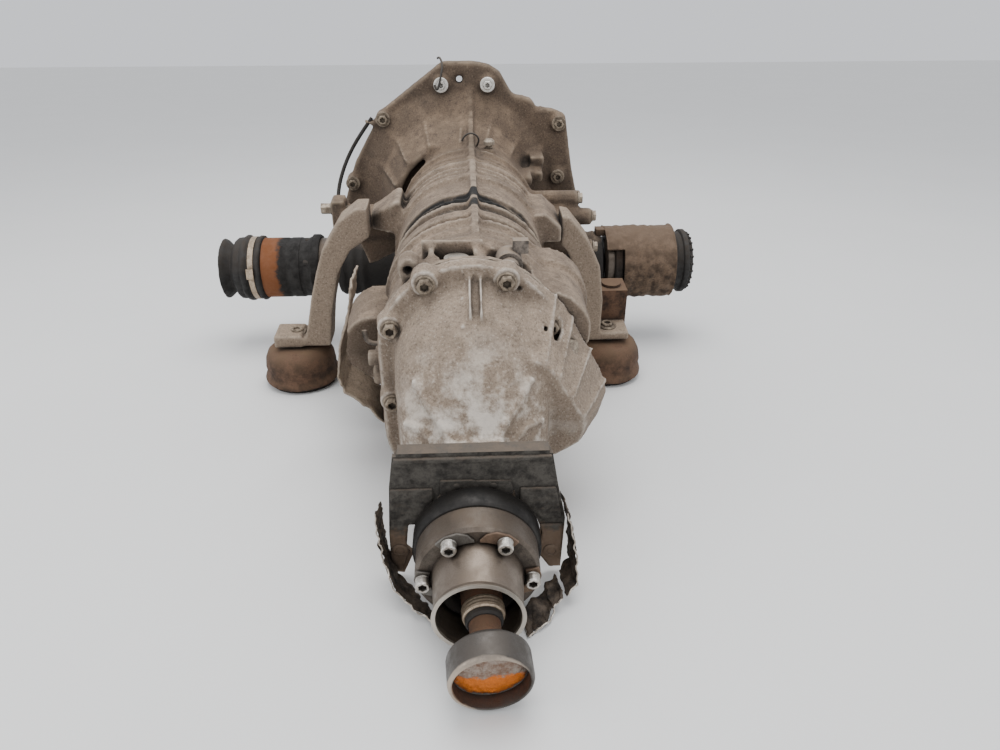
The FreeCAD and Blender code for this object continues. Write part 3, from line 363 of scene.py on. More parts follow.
def hull_of(points):
    """The convex hull of some corners: a wedge or a facet."""
    bm = bmesh.new()
    for point in points:
        bm.verts.new(point)
    bmesh.ops.convex_hull(bm, input=bm.verts)
    bmesh.ops.delete(bm, geom=[v for v in bm.verts if not v.link_faces], context="VERTS")
    bm.verts.index_update()
    made = [v.co.copy() for v in bm.verts], [[v.index for v in f.verts] for f in bm.faces]
    bm.free()
    return made


def tube(path, radius, segments=10):
    """A round tube along points."""
    path = [Vector(p) for p in path]
    points, faces = [], []
    side = None
    for i, here in enumerate(path):
        run = (path[min(i + 1, len(path) - 1)] - path[max(i - 1, 0)]).normalized()
        side = (run.orthogonal() if side is None else side - run * side.dot(run)).normalized()
        other = run.cross(side)
        for k in range(segments):
            angle = 2 * math.pi * k / segments
            points.append(here + (side * math.cos(angle) + other * math.sin(angle)) * radius)
    for i in range(len(path) - 1):
        for k in range(segments):
            j = (k + 1) % segments
            faces.append([i * segments + k, i * segments + j, (i + 1) * segments + j, (i + 1) * segments + k])
    last = (len(path) - 1) * segments
    return points, faces + [list(range(segments))[::-1], list(range(last, last + segments))]


def joined(*shapes):
    """Several shapes as one."""
    points, faces = [], []
    for shape_points, shape_faces in shapes:
        start = len(points)
        points += list(shape_points)
        faces += [[start + i for i in face] for face in shape_faces]
    return points, faces


def bolt(place, axis, radius=8.0, height=7.0, recess=0.5, sides=6, washer=1.25):
    """A bolt's head: washer, chamfered head with six sides or more, and a recess in its top."""
    frame3 = turn_to(axis)
    place = Vector(place)
    wide = radius * washer
    washer_part = lathe([(0, 0), (0, wide), (1.2, wide), (2.2, wide - 1), (2.2, 0)], place, axis, 28)
    hole = radius * recess
    rows = [(1.8, radius), (height - 1.2, radius), (height, radius * 0.86), (height, hole * 1.12),
            (height - 0.8, hole), (height * 0.45, hole), (height * 0.4, 0)]
    points, faces, rings = [], [], []
    segments = sides * 4
    for along, reach in rows:
        ring = []
        for i in range(segments):
            angle = 2 * math.pi * i / segments
            inner = along < height + 1 and reach <= hole * 1.13
            lobes = 6 if inner else sides
            spread = math.cos(math.pi / lobes) / math.cos((angle % (2 * math.pi / lobes)) - math.pi / lobes)
            r = reach * (spread if not inner else 1 - 0.1 * math.cos(6 * angle))
            ring.append(len(points))
            points.append(place + frame3 @ Vector((r * math.cos(angle), r * math.sin(angle), along)))
        rings.append(ring)
    for a, b in zip(rings, rings[1:]):
        for i in range(segments):
            j = (i + 1) % segments
            faces.append([a[i], a[j], b[j], b[i]])
    faces.append(rings[0][::-1])
    return joined(washer_part, (points, faces))


def mesh_from(name, shape):
    """A clean mesh in metres from a shape in millimetres."""
    points, faces = shape
    mesh = bpy.data.meshes.new(name)
    mesh.from_pydata([Vector(p) * MM for p in points], [], faces)
    bm = bmesh.new()
    bm.from_mesh(mesh)
    bmesh.ops.remove_doubles(bm, verts=bm.verts, dist=TINY)
    bmesh.ops.recalc_face_normals(bm, faces=bm.faces)
    bm.to_mesh(mesh)
    bm.free()
    return mesh


def smooth(mesh, angle):
    mesh.polygons.foreach_set("use_smooth", [True] * len(mesh.polygons))
    mesh.set_sharp_from_angle(angle=math.radians(angle))


def piece(name, data, paint, body, replaces):
    """Links a mesh or curve as a piece that rides on a body."""
    obj = bpy.data.objects.new(name, data)
    bpy.context.scene.collection.objects.link(obj)
    data.materials.clear()
    data.materials.append(paint)
    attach(obj, body)
    if replaces:
        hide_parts(*replaces)
    return obj


def put(name, mesh, paint, body, replaces=(), angle=40):
    smooth(mesh, angle)
    return piece(name, mesh, paint, body, replaces)


def add(name, shape, paint, body, replaces=(), bevel=0.0, angle=40):
    """A shape as a piece, with a bevel in millimetres where it has one."""
    obj = put(name, mesh_from(name, shape), paint, body, replaces, angle)
    if bevel:
        soften(obj, bevel)
    return obj


def soften(obj, width=0.6, segments=2):
    made = obj.modifiers.new("edges", "BEVEL")
    made.width = width * MM
    made.segments = segments
    made.limit_method = "ANGLE"
    made.angle_limit = math.radians(35)
    made.use_clamp_overlap = True


def apply_all(obj):
    """The object's mesh with its modifiers baked in."""
    bpy.context.view_layer.update()
    graph = bpy.context.evaluated_depsgraph_get()
    return bpy.data.meshes.new_from_object(obj.evaluated_get(graph))


def weld(obj, voxel):
    """Joins all that an object's mesh holds into one skin."""
    made = obj.modifiers.new("weld", "REMESH")
    made.mode = "VOXEL"
    made.voxel_size = voxel * MM


def relaxed(obj, rounds):
    """Smooths a skin's facets."""
    made = obj.modifiers.new("relax", "SMOOTH")
    made.factor = 0.5
    made.iterations = rounds


def dented(obj, name, size, strength):
    """Pushes a piece's skin in and out, over clouds of a size in metres."""
    clouds = bpy.data.textures.new(name, "CLOUDS")
    clouds.noise_scale = size
    made = obj.modifiers.new(name, "DISPLACE")
    made.texture = clouds
    made.strength = strength


def gauge(obj, thickness, offset):
    """Gives a sheet its thickness in metres."""
    made = obj.modifiers.new("gauge", "SOLIDIFY")
    made.thickness = thickness
    made.offset = offset


def grid_faces(rows, columns):
    """The faces of a grid of points that runs row by row."""
    corners = [i * columns + k for i in range(rows - 1) for k in range(columns - 1)]
    return [[a, a + 1, a + columns + 1, a + columns] for a in corners]


def divided(line, step):
    """Points along a broken line, about a step apart, without its last one."""
    path = []
    for a, b in zip(line, line[1:]):
        steps = max(2, int((Vector(b) - Vector(a)).length / step))
        path += [Vector(a).lerp(Vector(b), i / steps) for i in range(steps)]
    return path


def scratch(name, mesh):
    """An object that is only worked on and then removed."""
    obj = bpy.data.objects.new(name, mesh)
    bpy.context.scene.collection.objects.link(obj)
    return obj


SMALL_LUMP = 7.0
CUTTER_FINENESS = 0.7


def casting(node, paint, adds=(), cuts=(), voxel=2.4, relax=3, lumps=0.5, lump_size=26.0):
    """A CAD casting with its small bosses, ribs and pockets added, blended as one casting is.

    voxel is the size of its facets and lumps how far its skin wanders, both in millimetres.
    """
    mesh = NODES[node].data.copy()
    bm = bmesh.new()
    bm.from_mesh(mesh)
    bmesh.ops.remove_doubles(bm, verts=bm.verts, dist=TINY)
    if adds:
        bm.from_mesh(mesh_from("adds", joined(*adds)))
    bm.to_mesh(mesh)
    bm.free()
    obj = scratch(node + "_work", mesh)
    weld(obj, voxel)
    if cuts:
        tool = scratch("cutter", mesh_from("cutter", joined(*cuts)))
        weld(tool, voxel * CUTTER_FINENESS)
        obj.data = apply_all(obj)
        obj.modifiers.clear()
        made = obj.modifiers.new("pockets", "BOOLEAN")
        made.operation = "DIFFERENCE"
        made.solver = "FAST"
        made.object = tool
        weld(obj, voxel)
    relaxed(obj, relax)
    final = apply_all(obj)
    bpy.data.objects.remove(obj)
    if cuts:
        bpy.data.objects.remove(tool)
    final.name = node + "_casting"
    count = len(final.vertices)
    places = np.empty(count * 3)
    normals = np.empty(count * 3)
    final.vertices.foreach_get("co", places)
    final.vertex_normals.foreach_get("vector", normals)
    places = places.reshape(-1, 3)
    push = np.empty(count)
    for i, place in enumerate(places / MM):
        here = Vector(place)
        push[i] = noise.noise(here / lump_size) * 0.6 + noise.noise(here / SMALL_LUMP) * 0.4
    places += normals.reshape(-1, 3) * (push * lumps * MM)[:, None]
    final.vertices.foreach_set("co", places.ravel())
    final.update()
    put(node + "_casting", final, paint, "root", (node,), 60)


# ------------------------------------------------------------------ castings

def oval_points(radius, steps=24):
    """The case's outline as (x, z): a half circle over each shaft."""
    ring = []
    for start, centre_z in ((0, TOP_SHAFT_Z), (math.pi, OUTPUT_Z)):
        for i in range(steps + 1):
            angle = start + math.pi * i / steps
            ring.append((SHAFT_X + radius * math.cos(angle), centre_z + radius * math.sin(angle)))
    return ring


def rib_ring(outer, inner, front, rear, start=0, end=180):
    """A raised band over the case's top, between two angles."""
    steps = 28
    angles = [math.radians(start + (end - start) * i / steps) for i in range(steps + 1)]
    ring = [(SHAFT_X + outer * math.cos(a), TOP_SHAFT_Z + outer * math.sin(a)) for a in angles]
    ring += [(SHAFT_X + inner * math.cos(a), TOP_SHAFT_Z + inner * math.sin(a)) for a in reversed(angles)]
    return slab(ring, "Y", rear, front)


FLANGE_BOLTS = [(-18, 162), (53, 162), (165, 103), (166, 19), (-110, 112), (-166, 12), (-148, -100),
                (150, -108)]
FLANGE_BOSS = [(0, 6.2), (0, 12.5), (24, 11.5), (24, 6.2)]
bell_adds = [lathe(FLANGE_BOSS, (x, 0, z), (0, -1, 0)) for x, z in FLANGE_BOLTS]
# Ribs that run down the bell's cone, between the flange and the case.
for angle in (38, 62, 84, 112, 137, 160):
    c, s = math.cos(math.radians(angle)), math.sin(math.radians(angle))
    side = Vector((-s, 0, c)) * 2.2
    corners = []
    for y, low, high in ((-14, 140, 150), (-38, 108, 124), (-104, 84, 99)):
        for reach in (low, high):
            middle = Vector((c * reach, y, s * reach))
            corners += [middle + side, middle - side]
    bell_adds.append(hull_of(corners[:8]))
    bell_adds.append(hull_of(corners[4:]))
bell_adds += [rib_ring(101, 93, -140, -146), rib_ring(98, 93, -166, -170)]
bell_adds += [rod((178, -100, -26), (214, -100, -26), 10), rod((170, -128, -10), (206, -128, -10), 11),
              rod((150, -84, 6), (196, -84, 6), 9)]
for x in (140, 156, 172, 188, 204, 218):
    bell_adds.append(lathe([(0, 46), (0, 52), (3, 52), (3, 46)], (x, *AXLE), (1, 0, 0)))
for x in (-150, -166, -182):
    bell_adds.append(lathe([(0, 40), (0, 46), (3, 46), (3, 40)], (x, *AXLE), (1, 0, 0)))
bell_adds += [hull_of([(-70, -196, 20), (-70, -150, 20), (-150, -192, 8), (-150, -158, 8),
                       (-70, -196, -30), (-70, -150, -30), (-128, -192, -60), (-128, -158, -60)])]
bell_cuts = [rod((-163, 4, -10), (-163, -40, -10), 4), rod((-170, 4, -28), (-170, -40, -28), 3.6),
             rod((-160, 4, 30), (-160, -40, 30), 3.6), rod((10, 4, 168), (10, -40, 168), 6)]
casting("bell_housing", BELL_PAINT, bell_adds, bell_cuts, 3.3, 2)

CASE_RIBS = [
    (100, 92, -226, -229, 0, 180), (99, 92, -240, -243, 0, 180), (93, 85, -338, -342, 12, 168),
    (92, 85, -352, -355, 12, 168), (94, 85, -378, -382, 10, 170), (101, 92, -430, -436, 5, 175),
    (98, 92, -452, -456, 20, 160), (98, 92, -478, -482, 24, 156), (99.5, 90, -532, -540, 0, 180),
]
case_adds = [rib_ring(*rib) for rib in CASE_RIBS]
# Upright ribs down both sides of the case.
for sign in (-1, 1):
    face = SHAFT_X + sign * 95
    for y in (-222, -250, -290, -312, -348, -386, -424, -452, -478, -506):
        reach = 4 if y < -328 or y > -270 else 2
        case_adds.append(brick(sorted((face - sign * 6, face + sign * reach)), (y - 2, y + 2), (-128, 4)))
# The selector's recess, and a plug and a pad on the left side.
case_adds += [
    lathe([(0, 4), (0, 9), (26, 9), (26, 4)], (-18, -512, 78), (0, -1, 0)),
    rod((30, -500, 84), (30, -530, 84), 4.5),
    brick((-30, 34), (-500, -495), (80, 96)),
    rod((-20, -495, 90), (-20, -512, 86), 4),
    rod((26, -495, 90), (26, -512, 86), 4),
    brick((-94, -64), (-474, -436), (-60, -50)),
    rod((-60, -500, -40), (-96, -500, -40), 9),
]
case_cuts = [
    hull_of([(x, y, z) for x, z in ((-120, 70), (-66, 70), (-120, 34), (-100, 46)) for y in (-280, -200)]),
    hull_of([(x, y, z) for x, y in ((-120, -280), (-66, -280), (-120, -244)) for z in (10, 70)]),
    hull_of([(x, y, z) for x, z in ((150, 60), (110, 60), (150, 24)) for y in (-300, -200)]),
]
casting("main_case", CASE_PAINT, case_adds, case_cuts, 3.0, 2)


# The rear cover's hood, as (y, radius, height of its upper centre).
HOOD = [(-556, 80, -4), (-596, 78, -22), (-628, 73, -54), (-644, 67, -72), (-660, 56, -86), (-674, 42, -94)]


def hood_radius(y):
    """The hood's radius and the height of its upper centre at a place along Y."""
    for (y0, r0, t0), (y1, r1, t1) in zip(HOOD, HOOD[1:]):
        if y1 <= y <= y0:
            f = (y - y0) / (y1 - y0)
            return r0 + (r1 - r0) * f, t0 + (t1 - t0) * f
    return HOOD[-1][1:]


def on_hood(y, angle, lift=0.0):
    """A point on the hood's upper half: at a station, an angle about its upper centre, and a lift off it."""
    radius, top = hood_radius(y)
    a = math.radians(angle)
    return Vector((SHAFT_X + (radius + lift) * math.cos(a), y, top + (radius + lift) * math.sin(a)))


def ridge(stations, width, height, depth=8):
    """A rib along the hood through (y, angle) stations."""
    shapes = []
    for (y0, a0), (y1, a1) in zip(stations, stations[1:]):
        corners = []
        for y, a in ((y0, a0), (y1, a1)):
            for turn in (-width, width):
                corners += [on_hood(y, a + turn, -depth), on_hood(y, a + turn * 0.6, height)]
        shapes.append(hull_of(corners))
    return shapes


def pit(stations, width, depth):
    """A narrow pocket sunk into the hood along (y, angle) stations."""
    return ridge(stations, width, 4, depth)


cover_adds = []
for stations, width, height in (
    ([(-600, 90), (-618, 90)], 3.2, 1.6),
    ([(-634, 92), (-662, 92)], 2.0, 3),
    ([(-622, 42), (-644, 54), (-664, 66)], 4.0, 6),
    ([(-622, 138), (-644, 126), (-664, 114)], 4.0, 6),
    ([(-636, 22), (-650, 40), (-668, 52)], 4.0, 5),
    ([(-636, 158), (-650, 140), (-668, 128)], 4.0, 5),
):
    cover_adds += ridge(stations, width, height)
COVER_BOLTS = [(-25, 76), (55, 78), (-62, 28), (100, 28), (-66, -60), (106, -60), (-45, -163), (84, -163)]
for x, z in COVER_BOLTS:
    cover_adds.append(lathe([(0, 5), (0, 15), (20, 13.5), (20, 5)], (x, -541, z), (0, -1, 0)))
cover_adds.append(slab(oval_points(99), "Y", -548, -541))
cover_cuts = pit([(-574, 95), (-604, 96)], 3.0, 3.2) + pit([(-634, 97), (-652, 98)], 1.1, 1.8)
cover_cuts += pit([(-628, 104), (-633, 106)], 2.6, 1.6) + pit([(-634, 52), (-644, 50)], 4.5, 3.0)
cover_cuts += [rod((66, -540, 68), (66, -564, 68), 4.6)]
# The bulge's own ribs, on its upper and right side.
for t in (0.12, 0.36, 0.6, 0.84):
    front = [(96, 64), (116, 44), (134, 10), (160, -38), (168, -64)]
    rear = [(84, 14), (98, 4), (112, -20), (128, -46), (134, -62)]
    place = t * (len(front) - 1)
    k = min(int(place), len(front) - 2)
    f = place - k
    head = [front[k][i] + (front[k + 1][i] - front[k][i]) * f for i in (0, 1)]
    tail = [rear[k][i] + (rear[k + 1][i] - rear[k][i]) * f for i in (0, 1)]
    corners = []
    for (x, z), y in ((head, -545), (tail, -610)):
        out = Vector((x - 96, 0, z + 60)).normalized()
        across = Vector((-out.z, 0, out.x))
        for reach, half in ((-5, 3.5), (3.5, 1.8)):
            middle = Vector((x, y, z)) + out * reach
            corners += [middle + across * half, middle - across * half]
    cover_adds.append(hull_of(corners))
casting("rear_cover", COVER_PAINT, cover_adds, cover_cuts, 2.1, 2, 0.8, 18.0)


# ------------------------------------------------------------------ arms and mounts

left_pad = brick((-262, -222), (-284, -240), (-146, -128))
casting("left_mount_arm", ARM_PAINT, [left_pad], (), 1.8, 8, 0.4, 30.0)
casting("right_mount_arm", ARM_PAINT, (), (), 1.8, 8, 0.4, 30.0)

# The mounts' domes and bases, as (z, radius).
DOME = [(-150, 12), (-150.5, 28), (-153, 38), (-159, 45), (-168, 49), (-180, 50.5), (-188, 50), (-193, 52),
        (-198, 54), (-200, 54), (-200, 51), (-192, 48), (-178, 47), (-166, 44), (-156, 30), (-153, 12)]
BASE = [(-196, 12), (-196, 47), (-200, 49), (-206, 48), (-210, 46), (-212, 44), (-212, 12)]

domes = [lathe(DOME, (x, FOOT_Y, 0), (0, 0, 1), 72) for x in FOOT_XS]
obj = add("mount_domes", joined(*domes), RUST, "root", ("mount_cups",), 0, 50)
dented(obj, "dents", 0.03, 0.003)
bases = [lathe(BASE, (x, FOOT_Y, 0), (0, 0, 1), 72) for x in FOOT_XS]
add("mount_bases", joined(*bases), RUBBER, "root", (), 0.4, 50)

# ------------------------------------------------------------------ bolts and fittings

heads = [bolt((x, -562, z), (0, -1, 0), 8, 8, 0.5) for x, z in COVER_BOLTS]
add("cover_bolt_heads", joined(*heads), DUSTY_BOLT, "root", ("cover_bolts",))
flange_heads = [bolt((x, -24, z), (0, -1, 0), 7.5, 7, 0.5, washer=1.5) for x, z in FLANGE_BOLTS[2:]]
white = [bolt((x, -24, z), (0, -1, 0), 7, 6, 0.45, washer=1.6) for x, z in FLANGE_BOLTS[:2]]


# ------------------------------------------------------------------ rear joint

SWING = Matrix.Rotation(math.radians(4), 3, "Z")
DROOP = Matrix.Rotation(math.radians(3), 3, "X")
SHAFT_RUN = SWING @ DROOP @ Vector((0, -1, 0))


def along_shaft(profile, segments=64):
    """A turned shape about the drooping shaft; profile points are (distance from the pivot, radius)."""
    return lathe(profile, PIVOT, SHAFT_RUN, segments)


def shaft_piece(name, shape, paint, bevel=0.0, replaces=()):
    add(name, shape, paint, "propshaft", replaces, bevel)


core = along_shaft([(-10, 0), (-10, 15), (-6, 17), (8, 17), (12, 13), (30, 13), (30, 0)])
barrel = along_shaft([(28, 0), (28, 17.4), (34, 17.8), (41, 17.6), (47, 17.0), (50, 16.2), (50, 0)])
shaft_piece("shaft_socket", joined(core, barrel), RUST_SHAFT, 0.4, ("propshaft_stub",))
ring_profile = [(49, 12)]
for i in range(7):
    ring_profile += [(49.5 + i * 1.5, 17.6 + 0.5 * (i % 2)), (50.2 + i * 1.5, 17.6 + 0.5 * (i % 2))]
ring_profile += [(60.5, 16.5), (60.5, 12)]
shaft_piece("crimped_ring", along_shaft(ring_profile, 72), BAND)
lip_profile = [(60.5, 12), (60.5, 15.6), (64, 15.8), (66, 14.2), (66, 12)]
add("dust_lip", along_shaft(lip_profile), RUBBER, "propshaft")
bar_profile = [(64, 0), (64, 13.2), (76, 12.8), (78, 13.6), (82, 13.6), (84, 12.9), (93, 13.2), (93, 0)]
shaft_piece("shaft_bar", along_shaft(bar_profile), RUST_SHAFT, 0.3)
cup = along_shaft([(91, 0), (91, 24), (92.5, 29.5), (96, 33), (98, 33.5), (116.5, 33.5), (118.5, 33.2),
                   (120.5, 32.2), (121, 31.2), (120.4, 30.2), (118.5, 29.8), (109, 29.6), (108, 28.6),
                   (106, 0)], 96)
shaft_piece("shaft_end_cup", cup, CUP_PAINT)

# The greased end of the cut shaft: a lumpy dome of rings.
DISC_RADIUS = 29.4
DISC_RINGS = 26
DISC_SPOKES = 96
turn = turn_to(SHAFT_RUN)
disc_points, disc_faces = [], []
for i in range(DISC_RINGS + 1):
    reach = DISC_RADIUS * i / DISC_RINGS
    dome = 3.4 * (1 - (reach / DISC_RADIUS) ** 2)
    for k in range(DISC_SPOKES):
        angle = 2 * math.pi * k / DISC_SPOKES
        x, y = reach * math.cos(angle), reach * math.sin(angle)
        bumps = noise.noise(Vector((x, y, 3)) / 4.0) * 1.1
        bumps += noise.noise(Vector((x, y, 9)) / 1.6) * 0.5
        disc_points.append(PIVOT + turn @ Vector((x, y, 108.3 + dome + bumps)))
for i in range(DISC_RINGS):
    for k in range(DISC_SPOKES):
        near, far = i * DISC_SPOKES, (i + 1) * DISC_SPOKES
        j = (k + 1) % DISC_SPOKES
        disc_faces.append([near + k, near + j, far + j, far + k])
add("greasy_end_disc", (disc_points, disc_faces), GREASE, "propshaft", (), 0, 60)


def about_output(profile, segments=96):
    """A turned shape about the output axis; profile points are (place along Y, radius)."""
    return lathe([(-y, r) for y, r in profile], (SHAFT_X, 0, OUTPUT_Z), (0, -1, 0), segments)


def round_output(reach, degrees):
    """The (x, z) of a point at a distance and an angle from the output axis."""
    angle = math.radians(degrees)
    return SHAFT_X + reach * math.cos(angle), OUTPUT_Z + reach * math.sin(angle)


boot_ring = [(-776, 27.5), (-778, 33.5), (-786, 34), (-788, 31.5), (-784, 27.5), (-781, 27)]
add("grease_boot", about_output(boot_ring), RUBBER, "rear_output")
heads = []
for step in range(6):
    x, z = round_output(47, 120 + 60 * step)
    heads.append(bolt((x, -774, z), (0, -1, 0), 6.6, 9.5, 0.52, 12, 1.02))
add("joint_bolt_heads", joined(*heads), SILVER, "rear_output", ("rear_joint_bolts",), 0, 35)

# The plates under each pair of bolt heads, in two halves: grey on the left, brown on the right.
left_plates, right_plates = [], []
for step in range(3):
    middle = 90 + 120 * step
    for sign in (1, -1):
        ring = [round_output(41.5, middle + sign * (3 + 38 * i / 8)) for i in range(9)]
        ring += [round_output(reach, middle + sign * turned)
                 for turned, reach in ((41, 53.5), (30, 55.0), (18, 54.0), (9, 50.0), (3, 44.0))]
        on_left = sign > 0 if step == 0 else middle < 270
        (left_plates if on_left else right_plates).append(slab(ring, "Y", -774.2, -772))
add("grey_bolt_plates", joined(*left_plates), GREY_PLATE, "rear_output",
    ("rear_joint_shims",), 0.4)
add("brown_bolt_plates", joined(*right_plates), BROWN_PLATE, "rear_output", (), 0.4)
ring_profile = [(-721, 44), (-721, 56.5), (-723, 58), (-741, 58), (-744, 56), (-745, 50), (-745, 44)]
add("dark_seal_ring", about_output(ring_profile), DARK_RING, "rear_output", (), 0.3)

# ------------------------------------------------------------------ damper plate

# Each layer is (its rear face, its front face, its outline as x and z).
LAYERS = [
    (-715.5, -712.5, [(-56, -52), (-18, -52), (-20, -84), (-34, -90), (-36, -94), (-59, -94)]),
    (-716, -712.5, [(-60, -96), (-43, -96), (-46, -112), (-44, -128), (-52, -150), (-62, -150)]),
    (-715.5, -712.5, [(92, -54), (60, -54), (60, -80), (76, -86), (82, -92), (99, -92)]),
    (-716, -712.5, [(78, -98), (100, -98), (99, -152), (90, -152), (78, -134), (81, -108)]),
    (-715, -712.5,
     [(-12, -43), (52, -45), (54, -60), (42, -66), (38, -72), (-2, -72), (-8, -66), (-12, -62)]),
    (-716, -700, [(-51, -18), (87, -18), (88, -24), (-52, -24)]),
]
layers = [slab(outline, "Y", rear, front) for rear, front, outline in LAYERS]
obj = add("damper_layers", joined(*layers), PLATE, "root")
weld(obj, 1.1)
relaxed(obj, 3)
dented(obj, "grit", 0.009, 0.0016)
rivets = []
for x, z, r in ((-52, -124, 7.5), (90, -130, 7.5)):
    button = [(0, 0), (0, r), (1.6, r), (2.6, r - 1), (2.8, r * 0.62), (2.0, r * 0.55), (2.4, r * 0.4),
              (2.8, 0)]
    rivets.append(lathe(button, (x, -715, z), (0, -1, 0), 32))
for x, z in ((3, -50), (36, -50), (-47, -80), (81, -80)):
    rivets.append(lathe([(0, 0), (0, 3.4), (1.2, 3.0), (1.8, 2.0), (1.9, 0)], (x, -714, z), (0, -1, 0), 24))
foot_heads = [bolt((x, FOOT_Y, FOOT_TOP), (0, 0, 1), 9, 6, 0.5, 6, 1.5) for x in FOOT_XS]
add("plate_rivets", joined(*rivets), PLATE, "root", ("bracket_bolts",))
add("foot_bolt_heads", joined(*foot_heads), DUSTY_BOLT, "root")

# ------------------------------------------------------------------ torn foil under the joint


def foil_strip(name, front, back_shift, amount=2.4, rows=14):
    """A torn, crumpled sheet behind a front edge; back_shift is how far it runs back from that edge."""
    stations = divided(front, 1.6) + [Vector(front[-1])]
    points = []
    for i, place in enumerate(stations):
        tear = noise.noise(Vector((i * 0.21, 1.7, 0))) * 7 + noise.noise(Vector((i * 0.7, 4.0, 0))) * 3.5
        for k in range(rows):
            f = k / (rows - 1)
            here = place + Vector(back_shift) * f + Vector((0, -tear * (1 - f) * 0.6, tear * (1 - f) * 0.5))
            cell = here / 9.0
            shifts = (Vector((0, 0, 0)), Vector((7, 1, 3)), Vector((2, 8, 5)))
            crumple = Vector([noise.noise(cell + shift) for shift in shifts])
            fold = abs(noise.noise(here / 5.0)) - 0.2
            points.append(here + crumple * amount + Vector((1, 0.2, 0.4)) * fold * amount * 0.8)
    shape = points, grid_faces(len(stations), rows)
    obj = add(name, shape, FOIL, "root", (), 0, 30)
    gauge(obj, 0.0007, 0)
    return obj


left_edge = [(-70, -722, -74), (-68, -733, -96), (-64, -738, -117), (-55, -752, -137), (-42, -764, -144),
             (-23, -780, -148), (1, -798, -150)]
right_edge = [(104, -722, -78), (109, -733, -104), (111, -738, -124), (110, -750, -140), (100, -760, -145)]
right_flap = [(96, -762, -143), (88, -770, -147), (83, -780, -151), (72, -790, -150), (62, -799, -151)]
FOIL_OBJECT = foil_strip("under_foil_left", left_edge, (0, 34, -16))
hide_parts("under_foil")
foil_strip("under_foil_right", right_edge, (-4, 34, -2))
foil_strip("under_foil_flap", right_flap, (-6, 26, 3), 3.2)


def foil_rim(name, edge):
    """The bright folded rim of a foil strip."""
    shaken = []
    for i, place in enumerate(divided(edge, 2.0)):
        tear = noise.noise(Vector((i * 0.26, 1.7, 0))) * 5
        cell = place / 6.0
        rise = tear * 0.5 + noise.noise(cell * 1.7) * 2
        shaken.append(place + Vector((noise.noise(cell) * 2.6, -tear * 0.6 - 1, rise)))
    add(name, tube(shaken, 0.8, 6), FOIL_EDGE, "root", (), 0, 30)


foil_rim("foil_edge_left", left_edge)
foil_rim("foil_edge_right", right_edge)
foil_rim("foil_edge_flap", right_flap)

# ------------------------------------------------------------------ side joints

def about_axle(profile, segments=72):
    """A turned shape about the side axis; profile points are (x, radius)."""
    return lathe(profile, (0, *AXLE), (1, 0, 0), segments)


def round_axle(reach, degrees):
    """The (y, z) of a point at a distance and an angle from the side axis."""
    angle = math.radians(degrees)
    return AXLE[0] + reach * math.cos(angle), AXLE[1] + reach * math.sin(angle)


boot = [(-307, 30), (-307, 49), (-308.5, 51), (-312, 51.5), (-315, 50), (-316.5, 48.6), (-326, 48.6),
        (-328, 50), (-330, 52), (-334, 52.3), (-337, 50.5), (-339, 48.2), (-343, 48.8), (-347, 48.0),
        (-350, 45), (-352, 41), (-354, 37.5), (-357, 36.5), (-360, 38.5), (-364, 43), (-368, 46.4),
        (-370.5, 47), (-371, 46), (-369, 44), (-364, 40), (-358, 34), (-350, 34), (-320, 40), (-316, 30)]
obj = add("left_boot_rubber", about_axle(boot, 120), RUBBER, "left_output",
          ("left_boot",), 0, 50)
dented(obj, "torn", 0.02, 0.003)
band = [(-317, 48), (-317, 50.0), (-325.5, 50.0), (-325.5, 48)]
add("left_boot_band", about_axle(band, 96), BAND, "left_output", (), 0.3)
buckle = hull_of([(x, AXLE[0] + dy, AXLE[1] + dz)
                  for x in (-327, -316) for dy, dz in ((-50, 2), (-47, 17), (-54, 3), (-51, 19))])
add("left_band_buckle", buckle, BAND, "left_output", (), 0.6)
bolts = []
for step in range(6):
    bolts.append(bolt((-228, *round_axle(42, 30 + 60 * step)), (-1, 0, 0), 6.5, 12, 0.5, 12, 1.05))
add("left_joint_bolts", joined(*bolts), RUBBER, "left_output", (), 0, 35)
can = [(-216, 0), (-216, 50), (-219, 52), (-228, 52), (-230, 49), (-236, 46.5), (-246, 46.5), (-247, 47.5),
       (-262, 47.5), (-263, 46.8), (-268, 46.8), (-269, 47.5), (-306, 47.5), (-307, 46), (-307, 38),
       (-266, 36), (-266, 0)]
add("left_can_steel", about_axle(can, 96), CAN, "left_output", ("left_joint_can",), 0.3, 35)
right_can = [(250, 0), (250, 49), (252, 51), (261, 51), (263, 49), (264, 46.5), (280, 47.5), (298, 47.5),
             (299, 46.6), (304, 46.6), (305, 47.5), (342, 47.5), (343, 46), (343, 38), (301, 36), (301, 0)]
add("right_can_steel", about_axle(right_can, 96), RIGHT_CAN, "right_output",
    ("right_joint_can",), 0.3, 35)
right_boot = [(343, 30), (343, 49), (344, 50.5), (350, 51), (351.5, 48), (353, 47.2), (360, 47.2), (361, 50),
              (362, 51), (368, 51), (369.5, 49), (370, 45), (375, 44.4), (376, 43), (376, 25), (370, 24),
              (368, 41), (351, 41), (351, 30)]
add("right_boot_rubber", about_axle(right_boot, 120), RUBBER, "right_output",
    ("right_boot",), 0, 50)
knobs = []
for step in range(24):
    inner, outer = round_axle(45.5, 15 * step), round_axle(44, 15 * step)
    knobs.append(rod((370, *inner), (376, *outer), 2.9, 2.0, 12))
add("right_boot_beads", joined(*knobs), RUBBER, "right_output")

# The heat shield round the right joint, dented, and open where the joint's bolts are reached.
SHIELD_XS = (236, 346)
SHIELD_ANGLES = (34, 236)
OPEN_BEFORE_X = 262
OPEN_ANGLES = (138, 196)
ACROSS, AROUND = 60, 90


def spread(ends, count, i):
    """Where step i of count falls between two ends."""
    return ends[0] + (ends[1] - ends[0]) * i / count


